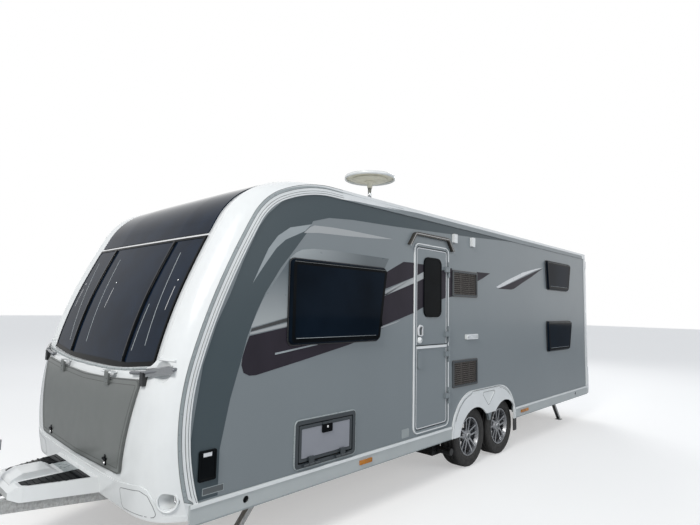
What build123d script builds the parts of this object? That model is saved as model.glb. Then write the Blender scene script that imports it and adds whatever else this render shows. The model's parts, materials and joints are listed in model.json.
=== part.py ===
from build123d import *
import math
import os

os.makedirs("parts", exist_ok=True)

# A twin-axle touring caravan. Millimetres. While it is built, X runs forward from the
# outer face of the rear wall, Y is to the left (the door side) and Z is up from the ground.
# At the end every piece is moved so that the origin is under the middle of the whole vehicle.

# Body shell
BODY_WIDTH = 2260.0
WALL = 30.0
FLOOR_BOTTOM = 435.0
FLOOR_THICK = 40.0
EAVES = 2530.0
ROOF_CAMBER = 45.0
ROOF_END = 5700.0
REAR_EDGE_ROUND = 24.0
HALF = BODY_WIDTH / 2
FLOOR_TOP = FLOOR_BOTTOM + FLOOR_THICK
PAST = 100.0

# Front moulding: one row for each place up the front, from the bottom to the roof.
# Columns: X at the side, Z at the side, X at the middle, Z at the middle, share of a sink's depth.
NOSE_BOTTOM = 408.0
FRONT_ROWS = [
    (6738.0, NOSE_BOTTOM, 6928.0, NOSE_BOTTOM, 1.0),
    (6830.0, 860.0, 6960.0, 860.0, 1.0),
    (6777.0, 1300.0, 6895.0, 1300.0, 1.0),
    (6600.0, 1780.0, 6732.0, 1780.0, 1.0),
    (6383.0, 2210.0, 6525.0, 2210.0, 1.0),
    (6155.0, 2420.0, 6280.0, 2450.0, 0.7),
    (ROOF_END, EAVES, ROOF_END, EAVES + ROOF_CAMBER, 0.0),
]
FRONT_SQUARENESS = 12.0
ROOF_SQUARENESS = 2.0
FRONT_MIDDLE_ANGLE = 78.8
FRONT_SIDE_ANGLE = 69.6
FRONT_STATIONS = (0.0, 0.4, 0.65, 0.8, 0.88, 0.93, 0.96, 0.98, 1.0)
FRONT_WALL = 44.0
NOSE_TIP = 7970.0

# Recess of the front windows: flat across the middle, rising to the moulding's crests at its sides.
# Its outline is seen from the front: half width, height and corner radius.
RECESS = 34.0
RECESS_FLAT_HALF = 480.0
RECESS_FLOOR_HALF = 885.0
RECESS_CREST_HALF = 985.0
RECESS_CREST_LIFT = 1.0
RECESS_BACK = 6020.0
RECESS_OUTLINE = [
    (0.0, 1200.0, 15000.0),
    (470.0, 1207.0, 4000.0),
    (905.0, 1255.0, 60.0),
    (RECESS_CREST_HALF, 1330.0, 30.0),
    (RECESS_CREST_HALF, EAVES + PAST, 5.0),
]

# Front windows in their black frame, and the dark panel above them
GLASS_BOTTOM = 1240.0
GLASS_RISE = 40.0
GLASS_TOP = 2060.0
GLASS_HALF = 870.0
BAR_BOTTOM = 476.0
BAR_TOP = 500.0
PANE_GAP = 28.0
PANE_THICK = 8.0
PANE_LAP = 34.0
PANE_CORNER = 24.0
FRAME_THICK = 11.0
FRAME_TOP = 2076.0
SUNROOF_BOTTOM = 2094.0
SUNROOF_HALF = 880.0
SUNROOF_HOLE_HALF = 560.0
SUNROOF_HOLE_BOTTOM = 2190.0
SUNROOF_HOLE_BACK = 6150.0

# Front locker lid, seen from the front. Columns: half width, height, corner radius.
LID_LOW_CORNER = (720.0, 610.0, 40.0)
LID_LOW_MIDDLE = (0.0, 588.0, 8000.0)
LID_HIGH_CORNER = (855.0, 1176.0, 40.0)
LID_HIGH_SHOULDER = (430.0, 1146.0, 4000.0)
LID_HIGH_MIDDLE = (0.0, 1131.0, 6000.0)
LID_THICK = 12.0
LID_CLEARANCE = 2.0
LID_LAP = 30.0
LID_HINGE_X = 6955.0
LID_HINGE_Z = 1180.0
LID_HINGE_YS = (-420.0, 420.0)
LID_HINGE_LENGTH = 60.0
LID_KNUCKLE_RADIUS = 7.0
LID_PIN = 3.5
LID_STRAP_LOW = 80.0
LID_STRAP_HIGH = 50.0
LID_STRAP_BACK = 55.0
LOCKER_BACK = 6440.0
LOCKER_PANEL = 15.0
SHELF_RISE = 20.0

# Front bumper below the ridge: half width and height of the ridge's points, seen from the front
RIDGE = (
    (0.0, 550.0),
    (420.0, 551.0),
    (690.0, 563.0),
    (935.0, 597.0),
    (990.0, 584.0),
    (1021.0, 533.0),
    (1036.0, 487.0),
    (1062.0, 449.0),
    (1170.0, 430.0),
)
BUMPER_PROUD = 5.0
FRONT_LAMP_Y = 1078.0
FRONT_LAMP_Z = 526.0
FRONT_LAMP_RADIUS = 44.0
FRONT_LAMP_FACE = 6776.0
FRONT_LAMP_DEPTH = 22.0
LAMP_HOUSING = 4.0
LAMP_SLACK = 0.5

# Front grab handles: points along the bar, its feet, its black bracket and the pocket behind it
GRAB_POINTS = ((6937.0, 735.0, 1205.0), (6928.0, 915.0, 1222.0), (6856.0, 1085.0, 1250.0))
GRAB_FOOT_DEPTH = 60.0
GRAB_FOOT_DRIFT = 12.0
GRAB_BRACKET = (16.0, 13.0, 40.0)
GRAB_POCKET = (6922.0, 1030.0, 1243.0, 80.0)
HANDLE_BAR = 11.0

# Wheels and running gear
TYRE_RADIUS = 308.0
TYRE_WIDTH = 185.0
TYRE_SHOULDER = 26.0
TYRE_CROWN = 5.0
TYRE_BEAD = 40.0
RIM_RADIUS = 194.0
RIM_LIP = 10.0
RIM_WIDTH = 160.0
RIM_WALL = 9.0
RIM_LEDGE = 34.0
SPOKE_PAIRS = 5
SPOKE_HALF_ANGLE = 12.0
SPOKE_TOE = 7.0
SPOKE_WIDTH = 17.0
SPOKE_DEPTH = 24.0
SPOKE_FACE_HUB = 52.0
SPOKE_FACE_RIM = 70.0
HUB_FACE = 60.0
HUB_RADIUS = 58.0
HUB_CAP_RADIUS = 30.0
WHEEL_OUTER_FACE = 1080.0
AXLE_MIDDLE = 3173.0
AXLE_SPACING = 668.0
AXLE_LEAD = 150.0
AXLE_TUBE_RADIUS = 45.0
AXLE_TUBE_HEIGHT = 340.0
ARM_Y = 795.0
ARM_THICK = 36.0
ARM_EYE = 52.0
ARM_HUB_EYE = 40.0
ARM_WEB_HUB = 34.0
ARM_WEB_TUBE = 42.0
STUB_RADIUS = 20.0
STUB_CLEARANCE = 0.06
STUB_END = 1013.0
DRUM_RADIUS = 112.0
DRUM_WIDTH = 56.0
DRUM_NECK = 70.0
BACK_PLATE = 8.0
HUB_GAP = 6.0
WHEEL_XS = (AXLE_MIDDLE + AXLE_SPACING / 2, AXLE_MIDDLE - AXLE_SPACING / 2)
WHEEL_MIDDLE_Y = WHEEL_OUTER_FACE - TYRE_WIDTH / 2

# Wheel boxes and the arches cut in the walls
BOX_WALL = 12.0
BOX_CLEARANCE = 56.0
ARCH_RADIUS = 345.0
ARCH_LIFT = 14.0

# Chassis
RAIL_Y = 550.0
RAIL_WIDTH = 50.0
RAIL_HEIGHT = 120.0
RAIL_WEB = 6.0
RAIL_REAR = 60.0
RAIL_FRONT = 6300.0
CROSS_XS = (120.0, 1500.0, 4700.0, 6180.0)
CROSS_WIDTH = 40.0
CROSS_HEIGHT = 80.0
DRAWBAR_WIDTH = 40.0
DRAWBAR_HEIGHT = 80.0
DRAWBAR_OVERLAP = 110.0

# Coupling head and brake lever
COUPLING_BACK = 7610.0
COUPLING_HALF = 45.0
COUPLING_DEPTH = 60.0
BALL_X = 7890.0
BALL_HEIGHT = 415.0
BALL_RADIUS = 25.3
SOCKET_TOP = BALL_HEIGHT + 7.0
SOCKET_WALL = 16.0
SOCKET_SKIRT = BALL_HEIGHT - 15.0
HEAD_DEPTH = 40.0
COUPLING_HANDLE = (7740.0, 7920.0, 16.0, 35.0)
LEVER_X = 7670.0
LEVER_LEAN = 50.0
LEVER_HEIGHT = 300.0
LEVER_RADIUS = 13.0
LEVER_BASE = (30.0, 20.0, 30.0)

# Side windows. Columns: X at bottom rear, bottom front, top rear and top front, bottom Z, top Z.
LOUNGE_WINDOW = (5101.0, 6058.0, 5009.0, 6058.0, 1360.0, 1955.0)
UPPER_BUNK_WINDOW = (815.0, 1558.0, 714.0, 1604.0, 1920.0, 2307.0)
LOWER_BUNK_WINDOW = (800.0, 1573.0, 700.0, 1591.0, 1090.0, 1488.0)
KITCHEN_WINDOW = (3690.0, 4480.0, 3620.0, 4480.0, 1360.0, 1955.0)
WASHROOM_WINDOW = (560.0, 1010.0, 520.0, 1010.0, 1500.0, 1955.0)
LEFT_WINDOWS = (LOUNGE_WINDOW, UPPER_BUNK_WINDOW, LOWER_BUNK_WINDOW)
RIGHT_WINDOWS = (LOUNGE_WINDOW, KITCHEN_WINDOW, WASHROOM_WINDOW)
WINDOW_LAP = 32.0
WINDOW_BULGE = 34.0
WINDOW_CORNER = 42.0
WINDOW_EDGE = 14.0

# Entrance door: two leaves, one above the other, in one frame
DOOR_REAR = 4030.0
DOOR_FRONT = 4600.0
DOOR_BOTTOM = 518.0
DOOR_TOP = 2220.0
DOOR_SPLIT = 1290.0
DOOR_GAP = 8.0
DOOR_FRAME = 26.0
DOOR_PROUD = 8.0
DOOR_LEAF_PROUD = 4.0
DOOR_CORNER = 60.0
DOOR_WINDOW = (4170.0, 4450.0, 1553.0, 2100.0)
DOOR_WINDOW_CORNER = 60.0
DOOR_HOLE_CORNER = 30.0
DOOR_PANE_PROUD = 10.0
HANDLE_BOX = (4480.0, 4548.0, 1085.0, 1235.0)
HANDLE_CORNER = 20.0
HANDLE_PROUD = 14.0
HANDLE_DEPTH = 12.0

# Rain cowl over the door: its middle line, seen from the side, and its width and depth
COWL_LINE = ((3955.0, 2182.0), (4048.0, 2307.0), (4604.0, 2307.0), (4696.0, 2182.0))
COWL_WIDTH = 28.0
COWL_CORNER = 60.0
COWL_DEPTH = 30.0

# Door hinges. The pin stands this far out of the wall; two hinges to a leaf.
HINGE_OUT = 22.0
HINGE_RADIUS = 9.0
HINGE_PIN = 4.5
PIN_CLEARANCE = 0.08
KNUCKLE_GAP = 5.0
KNUCKLE = 50.0
HINGE_ARM = 6.0
HINGE_REACH = 58.0
HINGE_FOOT = 30.0
LOWER_HINGES = (800.0, 1195.0)
UPPER_HINGES = (1385.0, 2010.0)

# Locker hatch low on the left wall: rear X, front X, bottom Z, top Z
HATCH = (5357.0, 5972.0, 510.0, 840.0)
HATCH_BORDER = 34.0
HATCH_PROUD = 9.0
HATCH_CORNER = 36.0
HATCH_INNER_CORNER = 8.0
HATCH_LEAF_PROUD = 4.0
HATCH_GAP = 7.0
HATCH_HINGE_OUT = 20.0
HATCH_HINGE_DROP = 12.0
HATCH_HINGE_INSET = 150.0
HATCH_ARM = 50.0
HATCH_FOOT = 24.0
HATCH_LATCH = (46.0, 50.0, 10.0)

# Fridge vents. Rows: rear X, front X, bottom Z, top Z
VENTS = ((3457.0, 3955.0, 1752.0, 2019.0), (3457.0, 3948.0, 851.0, 1119.0))
VENT_BORDER = 22.0
VENT_PROUD = 10.0
VENT_CORNER = 18.0
VENT_INNER_CORNER = 10.0
VENT_SLATS = 11
VENT_SLAT = 9.0
VENT_SLAT_DEPTH = 4.0
VENT_POSTS = 2

# Rear bumper, its lamps and the rear handles
REAR_TIP = -60.0
REAR_BUMPER = ((0.0, 800.0), (-30.0, 760.0), (-60.0, 640.0), (-60.0, 430.0), (-40.0, 372.0), (0.0, 372.0))
REAR_LAMP_HALF = 990.0
REAR_LAMP_WIDTH = 120.0
REAR_LAMP_BOTTOM = 480.0
REAR_LAMP_TOP = 620.0
REAR_LAMP_DEPTH = 30.0
REAR_HANDLE_Y = 940.0
REAR_HANDLE_BOTTOM = 1050.0
REAR_HANDLE_TOP = 1250.0
REAR_HANDLE_OUT = 45.0
HIGH_LAMP = (150.0, 2330.0, 22.0, 12.0)

# Edge rail along the front, roof and rear edges of each side: a flat band and a raised rail inside it
EDGE_BAND = 50.0
EDGE_BAND_PROUD = 3.0
EDGE_RAIL = 26.0
EDGE_RAIL_PROUD = 9.0
EDGE_OVERLAP = 1.0

# Skirt and wheel spat
SKIRT_TOP = 490.0
SKIRT_BOTTOM = 370.0
SKIRT_THICK = 10.0
SKIRT_LIP = 16.0
SKIRT_LIP_PROUD = 14.0
SKIRT_FRONT = 6738.0
SKIRT_REAR = 60.0
SKIRT_HOLES = (6357.0, 560.0)
SKIRT_HOLE_Z = 428.0
SKIRT_HOLE_RADIUS = 22.0
SPAT_FRONT = 3970.0
SPAT_REAR = 2565.0
SPAT_TOP = 792.0
SPAT_ROUND = 418.0
SPAT_THICK = 16.0
SPAT_ARCH_RADIUS = 330.0
SPAT_ARCH_Z = 285.0
SPAT_ARCH_REAR = 2612.0
SPAT_PRONG_Z = 520.0
SPAT_GROOVE = (16.0, 34.0)
SPAT_GROOVE_DEPTH = 6.0
SPAT_RECESS = ((3232.0, 608.0), (3368.0, 744.0), (3076.0, 744.0))
SPAT_RECESS_CORNER = 14.0

# Small fittings on the left wall. Each row: rear X, front X, bottom Z, top Z, depth
AWNING_LAMPS = ((3535.0, 3595.0, 2288.0, 2384.0, 28.0), (3892.0, 3952.0, 2290.0, 2380.0, 28.0))
SIDE_LIGHT = (3475.0, 3702.0, 1320.0, 1370.0, 24.0)
SERVICE_BOX = (6580.0, 6690.0, 605.0, 775.0, 10.0)
FITTING_CORNER = 8.0
SIDE_MARKERS = ((5166.0, 5308.0, 412.0, 444.0), (2220.0, 2420.0, 412.0, 444.0))
MARKER_PROUD = 10.0

# Steadies: legs of channel section that fold up under the floor
REAR_STEADY_X = 800.0
FRONT_STEADY_X = 6000.0
STEADY_Y = 860.0
STEADY_PIN_Z = 392.0
STEADY_ANGLE = 50.0
STEADY_HEIGHT = 36.0
STEADY_WIDTH = 44.0
STEADY_WEB = 5.0
STEADY_CHANNEL_START = 60.0
STEADY_PIN = 7.0
STEADY_CHEEK = 6.0
STEADY_SIDE_GAP = 0.5
STEADY_CHEEK_HALF = 40.0
STEADY_CHEEK_DROP = 22.0
STEADY_PLATE_HALF = 55.0
FOOT_LENGTH = 90.0
FOOT_WIDTH = 80.0
FOOT_THICK = 8.0
FOOT_LIFT = 1.0

# Jockey wheel
JOCKEY_X = 7500.0
JOCKEY_TUBE = 24.0
JOCKEY_INNER = 20.0
JOCKEY_SLIDE_GAP = 0.4
JOCKEY_TRAVEL = 120.0
JOCKEY_TUBE_TOP = 690.0
JOCKEY_INNER_TOP = 560.0
JOCKEY_TRAIL = 42.0
JOCKEY_RADIUS = 100.0
JOCKEY_WIDTH = 56.0
JOCKEY_ROUND = 10.0
JOCKEY_CROWN = 226.0
JOCKEY_CROWN_THICK = 14.0
JOCKEY_CROWN_BACK = 70.0
JOCKEY_CROWN_FRONT = 34.0
JOCKEY_PLATE = 5.0
JOCKEY_PLATE_EYE = 22.0
JOCKEY_COLLAR = 30.0
JOCKEY_COLLAR_TOP = 13.0
JOCKEY_SIDE = 6.0
JOCKEY_AXLE = 8.0
CLAMP_HALF = 32.0
CLAMP_HEIGHT = 34.0
CLAMP_LAP = 60.0
CRANK_REACH = 85.0
CRANK_BAR = 7.0
CRANK_KNOB = (9.0, 56.0)
CAP_HEIGHT = 18.0

# Cover over the drawbar. Profile seen from the side; plan seen from above.
COVER_PROFILE = (
    (6900.0, 415.0),
    (7345.0, 415.0),
    (7400.0, 438.0),
    (7400.0, 474.0),
    (7350.0, 506.0),
    (6900.0, 512.0),
)
COVER_PLAN = ((6900.0, 382.0), (7330.0, 232.0), (7400.0, 190.0))
COVER_WALL = 8.0
COVER_BAR_GAP = 6.0
HUMP_PROFILE = ((7060.0, 500.0), (7385.0, 470.0), (7360.0, 520.0), (7300.0, 548.0), (7150.0, 548.0))
HUMP_HALF = 100.0
HUMP_CORNER = 18.0

# Mover ahead of the front wheels
MOVER_GAP = 24.0
ROLLER_RADIUS = 34.0
ROLLER_HEIGHT = 215.0
ROLLER_INSET = 10.0
MOVER_BAR_RADIUS = 20.0
MOTOR = (50.0, 90.0, 55.0, 70.0)
MOTOR_GAP = 30.0
HANGER = (30.0, 60.0, 40.0)

# Aerial and roof fittings. Rooflights: middle X, middle Y, length, width
AERIAL_X = 4850.0
AERIAL_Y = 800.0
AERIAL_TOP = 2862.0
AERIAL_RADIUS = 235.0
AERIAL_THICK = 66.0
AERIAL_SHARES = (0.45, 0.5)
AERIAL_MAST = 17.0
AERIAL_FOOT = 60.0
AERIAL_FOOT_HEIGHT = 18.0
ROOFLIGHTS = ((4500.0, -120.0, 700.0, 500.0), (2600.0, -250.0, 400.0, 400.0), (1150.0, 420.0, 400.0, 400.0))
ROOFLIGHT_HEIGHT = 62.0
ROOFLIGHT_LAP = 30.0
ROOFLIGHT_BASE = 12.0
ROOFLIGHT_CORNERS = (50.0, 30.0)


# Basic shapes
def slab(x0, x1, y0, y1, z0, z1):
    block = Box(abs(x1 - x0), abs(y1 - y0), abs(z1 - z0))
    return Pos((x0 + x1) / 2, (y0 + y1) / 2, (z0 + z1) / 2) * block


def rod(start, end, radius):
    """A round bar from one point to another."""
    line = Vector(*end) - Vector(*start)
    plane = Plane(origin=start, z_dir=line)
    return extrude(plane * Circle(radius), amount=line.length)


def tube(start, end, outer, inner):
    return rod(start, end, outer) - rod(start, end, inner)


def prism(points, axis, low, high, radius=0.0):
    """An outline given by pairs, extruded along X, Y or Z, with its corners rounded."""
    if axis == "x":
        corners = [(low, a, b) for a, b in points]
        way = (1, 0, 0)
    elif axis == "y":
        corners = [(a, low, b) for a, b in points]
        way = (0, 1, 0)
    else:
        corners = [(a, b, low) for a, b in points]
        way = (0, 0, 1)
    if radius:
        outline = FilletPolyline(*corners, radius=radius, close=True)
    else:
        outline = Polyline(*corners, close=True)
    return extrude(make_face(outline), amount=high - low, dir=way)


def rectangle(x0, x1, z0, z1):
    return [(x0, z0), (x1, z0), (x1, z1), (x0, z1)]


def mirrored(shape):
    return mirror(shape, about=Plane.XZ)


def grown(points, amount):
    """An outline, counterclockwise, moved outward by an amount at each side."""
    count = len(points)
    moved = []
    for i in range(count):
        before = Vector(*points[i - 1])
        here = Vector(*points[i])
        after = Vector(*points[(i + 1) % count])
        first = (here - before).normalized()
        second = (after - here).normalized()
        normal_a = Vector(first.Y, -first.X)
        normal_b = Vector(second.Y, -second.X)
        middle = (normal_a + normal_b).normalized()
        step = amount / middle.dot(normal_a)
        moved.append((here.X + middle.X * step, here.Y + middle.Y * step))
    return moved


# Front moulding
def chain_angles(points, start):
    """The tangent at each point of a chain of tangent arcs."""
    angles = [start]
    for (x0, z0), (x1, z1) in zip(points, points[1:]):
        angles.append(2 * math.atan2(z1 - z0, x1 - x0) - angles[-1])
    return angles


def front_chain(share, offset, sink):
    """The profile at a share of the half width, moved out by an offset and in by each row's share of a sink."""
    fall = share ** FRONT_SQUARENESS
    points = []
    for side_x, side_z, middle_x, middle_z, depth in FRONT_ROWS:
        drop = share ** ROOF_SQUARENESS if depth == 0 else fall
        points.append((middle_x + (side_x - middle_x) * drop, middle_z + (side_z - middle_z) * drop))
    start = math.radians(FRONT_MIDDLE_ANGLE + (FRONT_SIDE_ANGLE - FRONT_MIDDLE_ANGLE) * fall)
    moved = []
    for (x, z), angle, row in zip(points, chain_angles(points, start), FRONT_ROWS):
        out = offset - sink * row[-1]
        moved.append((x + math.sin(angle) * out, z - math.cos(angle) * out))
    return moved, chain_angles(moved, start)


def front_face(y, offset, sink, back, bottom, share=None):
    """The face at a place across the body, between the profile and a flat back and bottom."""
    points, angles = front_chain(abs(y) / HALF if share is None else share, offset, sink)
    edges = []
    for (x0, z0), (x1, z1), a in zip(points, points[1:], angles):
        tangent = (math.cos(a), 0, math.sin(a))
        edges.append(TangentArc((x0, y, z0), (x1, y, z1), tangent=tangent))
    top = points[-1]
    start = points[0]
    corners = [top, (back, top[1]), (back, bottom), (start[0], bottom), start]
    for (x0, z0), (x1, z1) in zip(corners, corners[1:]):
        if math.hypot(x1 - x0, z1 - z0) > 0.01:
            edges.append(Line((x0, y, z0), (x1, y, z1)))
    return make_face(edges)


def front_block(offset, sink=0.0):
    """The nose with its skin moved out by an offset. An inner one runs past the outer one's ends."""
    shares = list(reversed(FRONT_STATIONS)) + [-s for s in FRONT_STATIONS[1:]]
    past = 2 * WALL if offset < 0 else 0
    wide = HALF + (1 if offset < 0 else 0)
    return loft([front_face(s * wide, offset, sink, ROOF_END - past, NOSE_BOTTOM - past) for s in shares])


def recess_block(lift):
    """The nose with the windows' recess, its floor raised by a lift."""
    half = [
        (RECESS_CREST_HALF, RECESS_CREST_LIFT, 0.0),
        (RECESS_FLOOR_HALF, 0.0, RECESS),
        (RECESS_FLAT_HALF, 0.0, RECESS),
    ]
    rows = half + [(-y, offset, sink) for y, offset, sink in reversed(half)]
    back = ROOF_END - 2 * WALL
    bottom = NOSE_BOTTOM - 2 * WALL
    faces = [front_face(y, offset + lift, sink, back, bottom) for y, offset, sink in rows]
    return loft(faces, ruled=True)


def front_zone(points, radius=0.0, back=ROOF_END):
    """A prism through the nose, from points seen from the front."""
    return prism(points, "x", back, NOSE_TIP, radius)


def both_sides(rows):
    """An outline seen from the front, from rows of half width, height and radius that start at the middle."""
    whole = [(-y, z, r) for y, z, r in reversed(rows) if y > 0] + list(rows)
    return [(y, z) for y, z, r in whole], [r for y, z, r in whole]


def side_face(y, offset, back, sink=0.0):
    """The side view of the body at its outer face, with the front edge moved by an offset."""
    return front_face(y, offset, sink, back, NOSE_BOTTOM, share=1.0)


nose_outer = front_block(0)
nose_inner = front_block(-WALL, FRONT_WALL - WALL)
recess_floor = recess_block(0)
parts = {}

# Front panel, bumper and locker lid
low_edge = FLOOR_BOTTOM - 4 * WALL
ridge_left = [(-y, z) for y, z in reversed(RIDGE[1:])]
side_edge = RIDGE[-1][0]
bumper_zone = front_zone(ridge_left + list(RIDGE) + [(side_edge, low_edge), (-side_edge, low_edge)])

lid_points, lid_radii = both_sides(
    [LID_LOW_MIDDLE, LID_LOW_CORNER, LID_HIGH_CORNER, LID_HIGH_SHOULDER, LID_HIGH_MIDDLE]
)
side_pane_points = [
    (BAR_BOTTOM + PANE_GAP / 2, GLASS_BOTTOM),
    (GLASS_HALF, GLASS_BOTTOM + GLASS_RISE),
    (GLASS_HALF, GLASS_TOP),
    (BAR_TOP + PANE_GAP / 2, GLASS_TOP),
]
middle_pane_points = [
    (-BAR_BOTTOM + PANE_GAP / 2, GLASS_BOTTOM),
    (BAR_BOTTOM - PANE_GAP / 2, GLASS_BOTTOM),
    (BAR_TOP - PANE_GAP / 2, GLASS_TOP),
    (-BAR_TOP + PANE_GAP / 2, GLASS_TOP),
]
side_hole = front_zone(grown(side_pane_points, -PANE_LAP), PANE_CORNER)
middle_hole = front_zone(grown(middle_pane_points, -PANE_LAP), PANE_CORNER)
sunroof_hole = slab(
    SUNROOF_HOLE_BACK,
    NOSE_TIP,
    -SUNROOF_HOLE_HALF,
    SUNROOF_HOLE_HALF,
    SUNROOF_HOLE_BOTTOM,
    EAVES + PAST,
)
recess_points, recess_radii = both_sides(RECESS_OUTLINE)
recess_zone = front_zone(recess_points, recess_radii, RECESS_BACK)


def lamp_rod(x0, x1, radius):
    return rod((x0, FRONT_LAMP_Y, FRONT_LAMP_Z), (x1, FRONT_LAMP_Y, FRONT_LAMP_Z), radius)


lamp_back = FRONT_LAMP_FACE - FRONT_LAMP_DEPTH
lamp_recess = lamp_rod(lamp_back, NOSE_TIP, FRONT_LAMP_RADIUS)
lamp_housing = (lamp_rod(lamp_back, NOSE_TIP, FRONT_LAMP_RADIUS + LAMP_HOUSING) & nose_outer) - lamp_recess
pocket_x, pocket_y, pocket_z, pocket_radius = GRAB_POCKET
grab_pocket = Pos(pocket_x, pocket_y, pocket_z) * Sphere(pocket_radius)

front_panel = nose_outer - nose_inner - bumper_zone - (recess_zone - recess_floor)
front_panel = front_panel - front_zone(grown(lid_points, -LID_LAP), lid_radii)
front_panel = front_panel - side_hole - mirrored(side_hole) - middle_hole - sunroof_hole
front_panel = front_panel - lamp_recess - mirrored(lamp_recess) + lamp_housing + mirrored(lamp_housing)
front_panel = front_panel - grab_pocket - mirrored(grab_pocket)
bumper = (front_block(BUMPER_PROUD) - nose_inner) & bumper_zone
lamp = lamp_rod(lamp_back, FRONT_LAMP_FACE, FRONT_LAMP_RADIUS - LAMP_SLACK)

# Front windows, their frame and the dark panel above them
pane_shell = recess_block(PANE_THICK) - recess_floor
side_pane = pane_shell & front_zone(side_pane_points, PANE_CORNER)
middle_pane = pane_shell & front_zone(middle_pane_points, PANE_CORNER)
sunroof_zone = slab(RECESS_BACK, NOSE_TIP, -SUNROOF_HALF, SUNROOF_HALF, SUNROOF_BOTTOM, EAVES + PAST)
sunroof_panel = pane_shell & sunroof_zone
frame_room = slab(RECESS_BACK, NOSE_TIP, -RECESS_FLOOR_HALF, RECESS_FLOOR_HALF, FLOOR_TOP, FRAME_TOP)
window_frame = (recess_block(FRAME_THICK) - recess_floor) & recess_zone & frame_room
for zone in (side_pane_points, middle_pane_points):
    pane_room = front_zone(zone, PANE_CORNER)
    window_frame = window_frame - pane_room - mirrored(pane_room)

lid_seat = front_block(LID_CLEARANCE)
locker_lid = (front_block(LID_CLEARANCE + LID_THICK) - lid_seat) & front_zone(lid_points, lid_radii)


def lid_bar(y0, y1, radius):
    return rod((LID_HINGE_X, y0, LID_HINGE_Z), (LID_HINGE_X, y1, LID_HINGE_Z), radius)


# The lid's hinges stand in front of its top edge, because the lid is curved
hinge_feet = None
for y in LID_HINGE_YS:
    low = y - LID_HINGE_LENGTH / 2
    high = y + LID_HINGE_LENGTH / 2
    foot = lid_bar(low - KNUCKLE, high + KNUCKLE, LID_PIN)
    for a, b in ((low - KNUCKLE, low - KNUCKLE_GAP), (high + KNUCKLE_GAP, high + KNUCKLE)):
        leg = slab(LID_HINGE_X - PAST, LID_HINGE_X, a, b, LID_HINGE_Z, LID_HINGE_Z + LID_KNUCKLE_RADIUS)
        foot = foot + (leg - nose_outer) + lid_bar(a, b, LID_KNUCKLE_RADIUS)
    hinge_feet = foot if hinge_feet is None else hinge_feet + foot
    strap_front = LID_HINGE_X + LID_KNUCKLE_RADIUS
    strap_low = LID_HINGE_Z - LID_STRAP_LOW
    arm = slab(LID_HINGE_X - LID_STRAP_BACK, strap_front, low, high, strap_low, LID_HINGE_Z - LID_STRAP_HIGH)
    neck = slab(LID_HINGE_X - LID_KNUCKLE_RADIUS, strap_front, low, high, strap_low, LID_HINGE_Z)
    strap = (arm - lid_seat) + neck + lid_bar(low, high, LID_KNUCKLE_RADIUS)
    locker_lid = locker_lid + (strap - lid_bar(low - 1, high + 1, LID_PIN + PIN_CLEARANCE))

# The locker behind the lid: a bulkhead and a shelf
shelf_low = LID_HIGH_CORNER[1] + SHELF_RISE
inside = HALF - WALL
bulkhead = slab(LOCKER_BACK, LOCKER_BACK + LOCKER_PANEL, -inside, inside, FLOOR_TOP, shelf_low)
shelf = slab(LOCKER_BACK, NOSE_TIP, -inside, inside, shelf_low, shelf_low + LOCKER_PANEL) & nose_inner
parts["locker_bulkhead"] = [bulkhead + shelf]
parts["front_bumper"] = [bumper - lamp_recess - mirrored(lamp_recess)]
parts["front_windows"] = [side_pane, mirrored(side_pane), middle_pane]
parts["window_frame"] = [window_frame]
parts["sunroof_panel"] = [sunroof_panel]
parts["front_locker_lid"] = [locker_lid]
parts["front_panel"] = [front_panel + hinge_feet]
parts["front_lamps"] = [lamp, mirrored(lamp)]

# Floor, with the wheel boxes' places cut out
box_rear = WHEEL_XS[1] - TYRE_RADIUS - BOX_CLEARANCE
box_front = WHEEL_XS[0] + TYRE_RADIUS + BOX_CLEARANCE
box_inner = WHEEL_OUTER_FACE - TYRE_WIDTH - BOX_CLEARANCE
box_top = 2 * TYRE_RADIUS + BOX_CLEARANCE
wheel_room = slab(box_rear, box_front, box_inner, HALF, 0, box_top)
floor_rear = slab(WALL, ROOF_END, -inside, inside, FLOOR_BOTTOM, FLOOR_TOP)
floor_front = slab(ROOF_END, NOSE_TIP, -inside, inside, FLOOR_BOTTOM, FLOOR_TOP) & nose_inner
lamp_room = lamp_rod(ROOF_END, NOSE_TIP, FRONT_LAMP_RADIUS + 2 * LAMP_HOUSING)
floor_front = floor_front - lamp_room - mirrored(lamp_room)
parts["floor"] = [floor_rear + floor_front - wheel_room - mirrored(wheel_room)]
box_outside = slab(box_rear, box_front, box_inner, inside, FLOOR_BOTTOM, box_top)
box_inside = slab(
    box_rear + BOX_WALL, box_front - BOX_WALL, box_inner + BOX_WALL, HALF, 0, box_top - BOX_WALL
)
wheel_box = box_outside - box_inside
parts["wheel_boxes"] = [wheel_box, mirrored(wheel_box)]


# Side walls, and the windows and openings in them
def window_points(window):
    rear_low, front_low, rear_high, front_high, bottom, top = window
    return [(rear_low, bottom), (front_low, bottom), (front_high, top), (rear_high, top)]


def wall_hole(points, radius):
    return prism(points, "y", 0, HALF + PAST, radius)


wall_outline = side_face(inside, -WALL, WALL, FRONT_WALL - WALL)
wall_room = slab(0, NOSE_TIP, 0, HALF + PAST, FLOOR_BOTTOM, EAVES - WALL)
wall_blank = extrude(wall_outline, amount=WALL, dir=(0, 1, 0)) & wall_room
arch_z = TYRE_RADIUS + ARCH_LIFT
for x in WHEEL_XS:
    arch = rod((x, 0, arch_z), (x, HALF + PAST, arch_z), ARCH_RADIUS)
    wall_blank = wall_blank - (arch & slab(SPAT_REAR + SPAT_GROOVE[0], SPAT_FRONT, 0, HALF + PAST, 0, EAVES))

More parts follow.
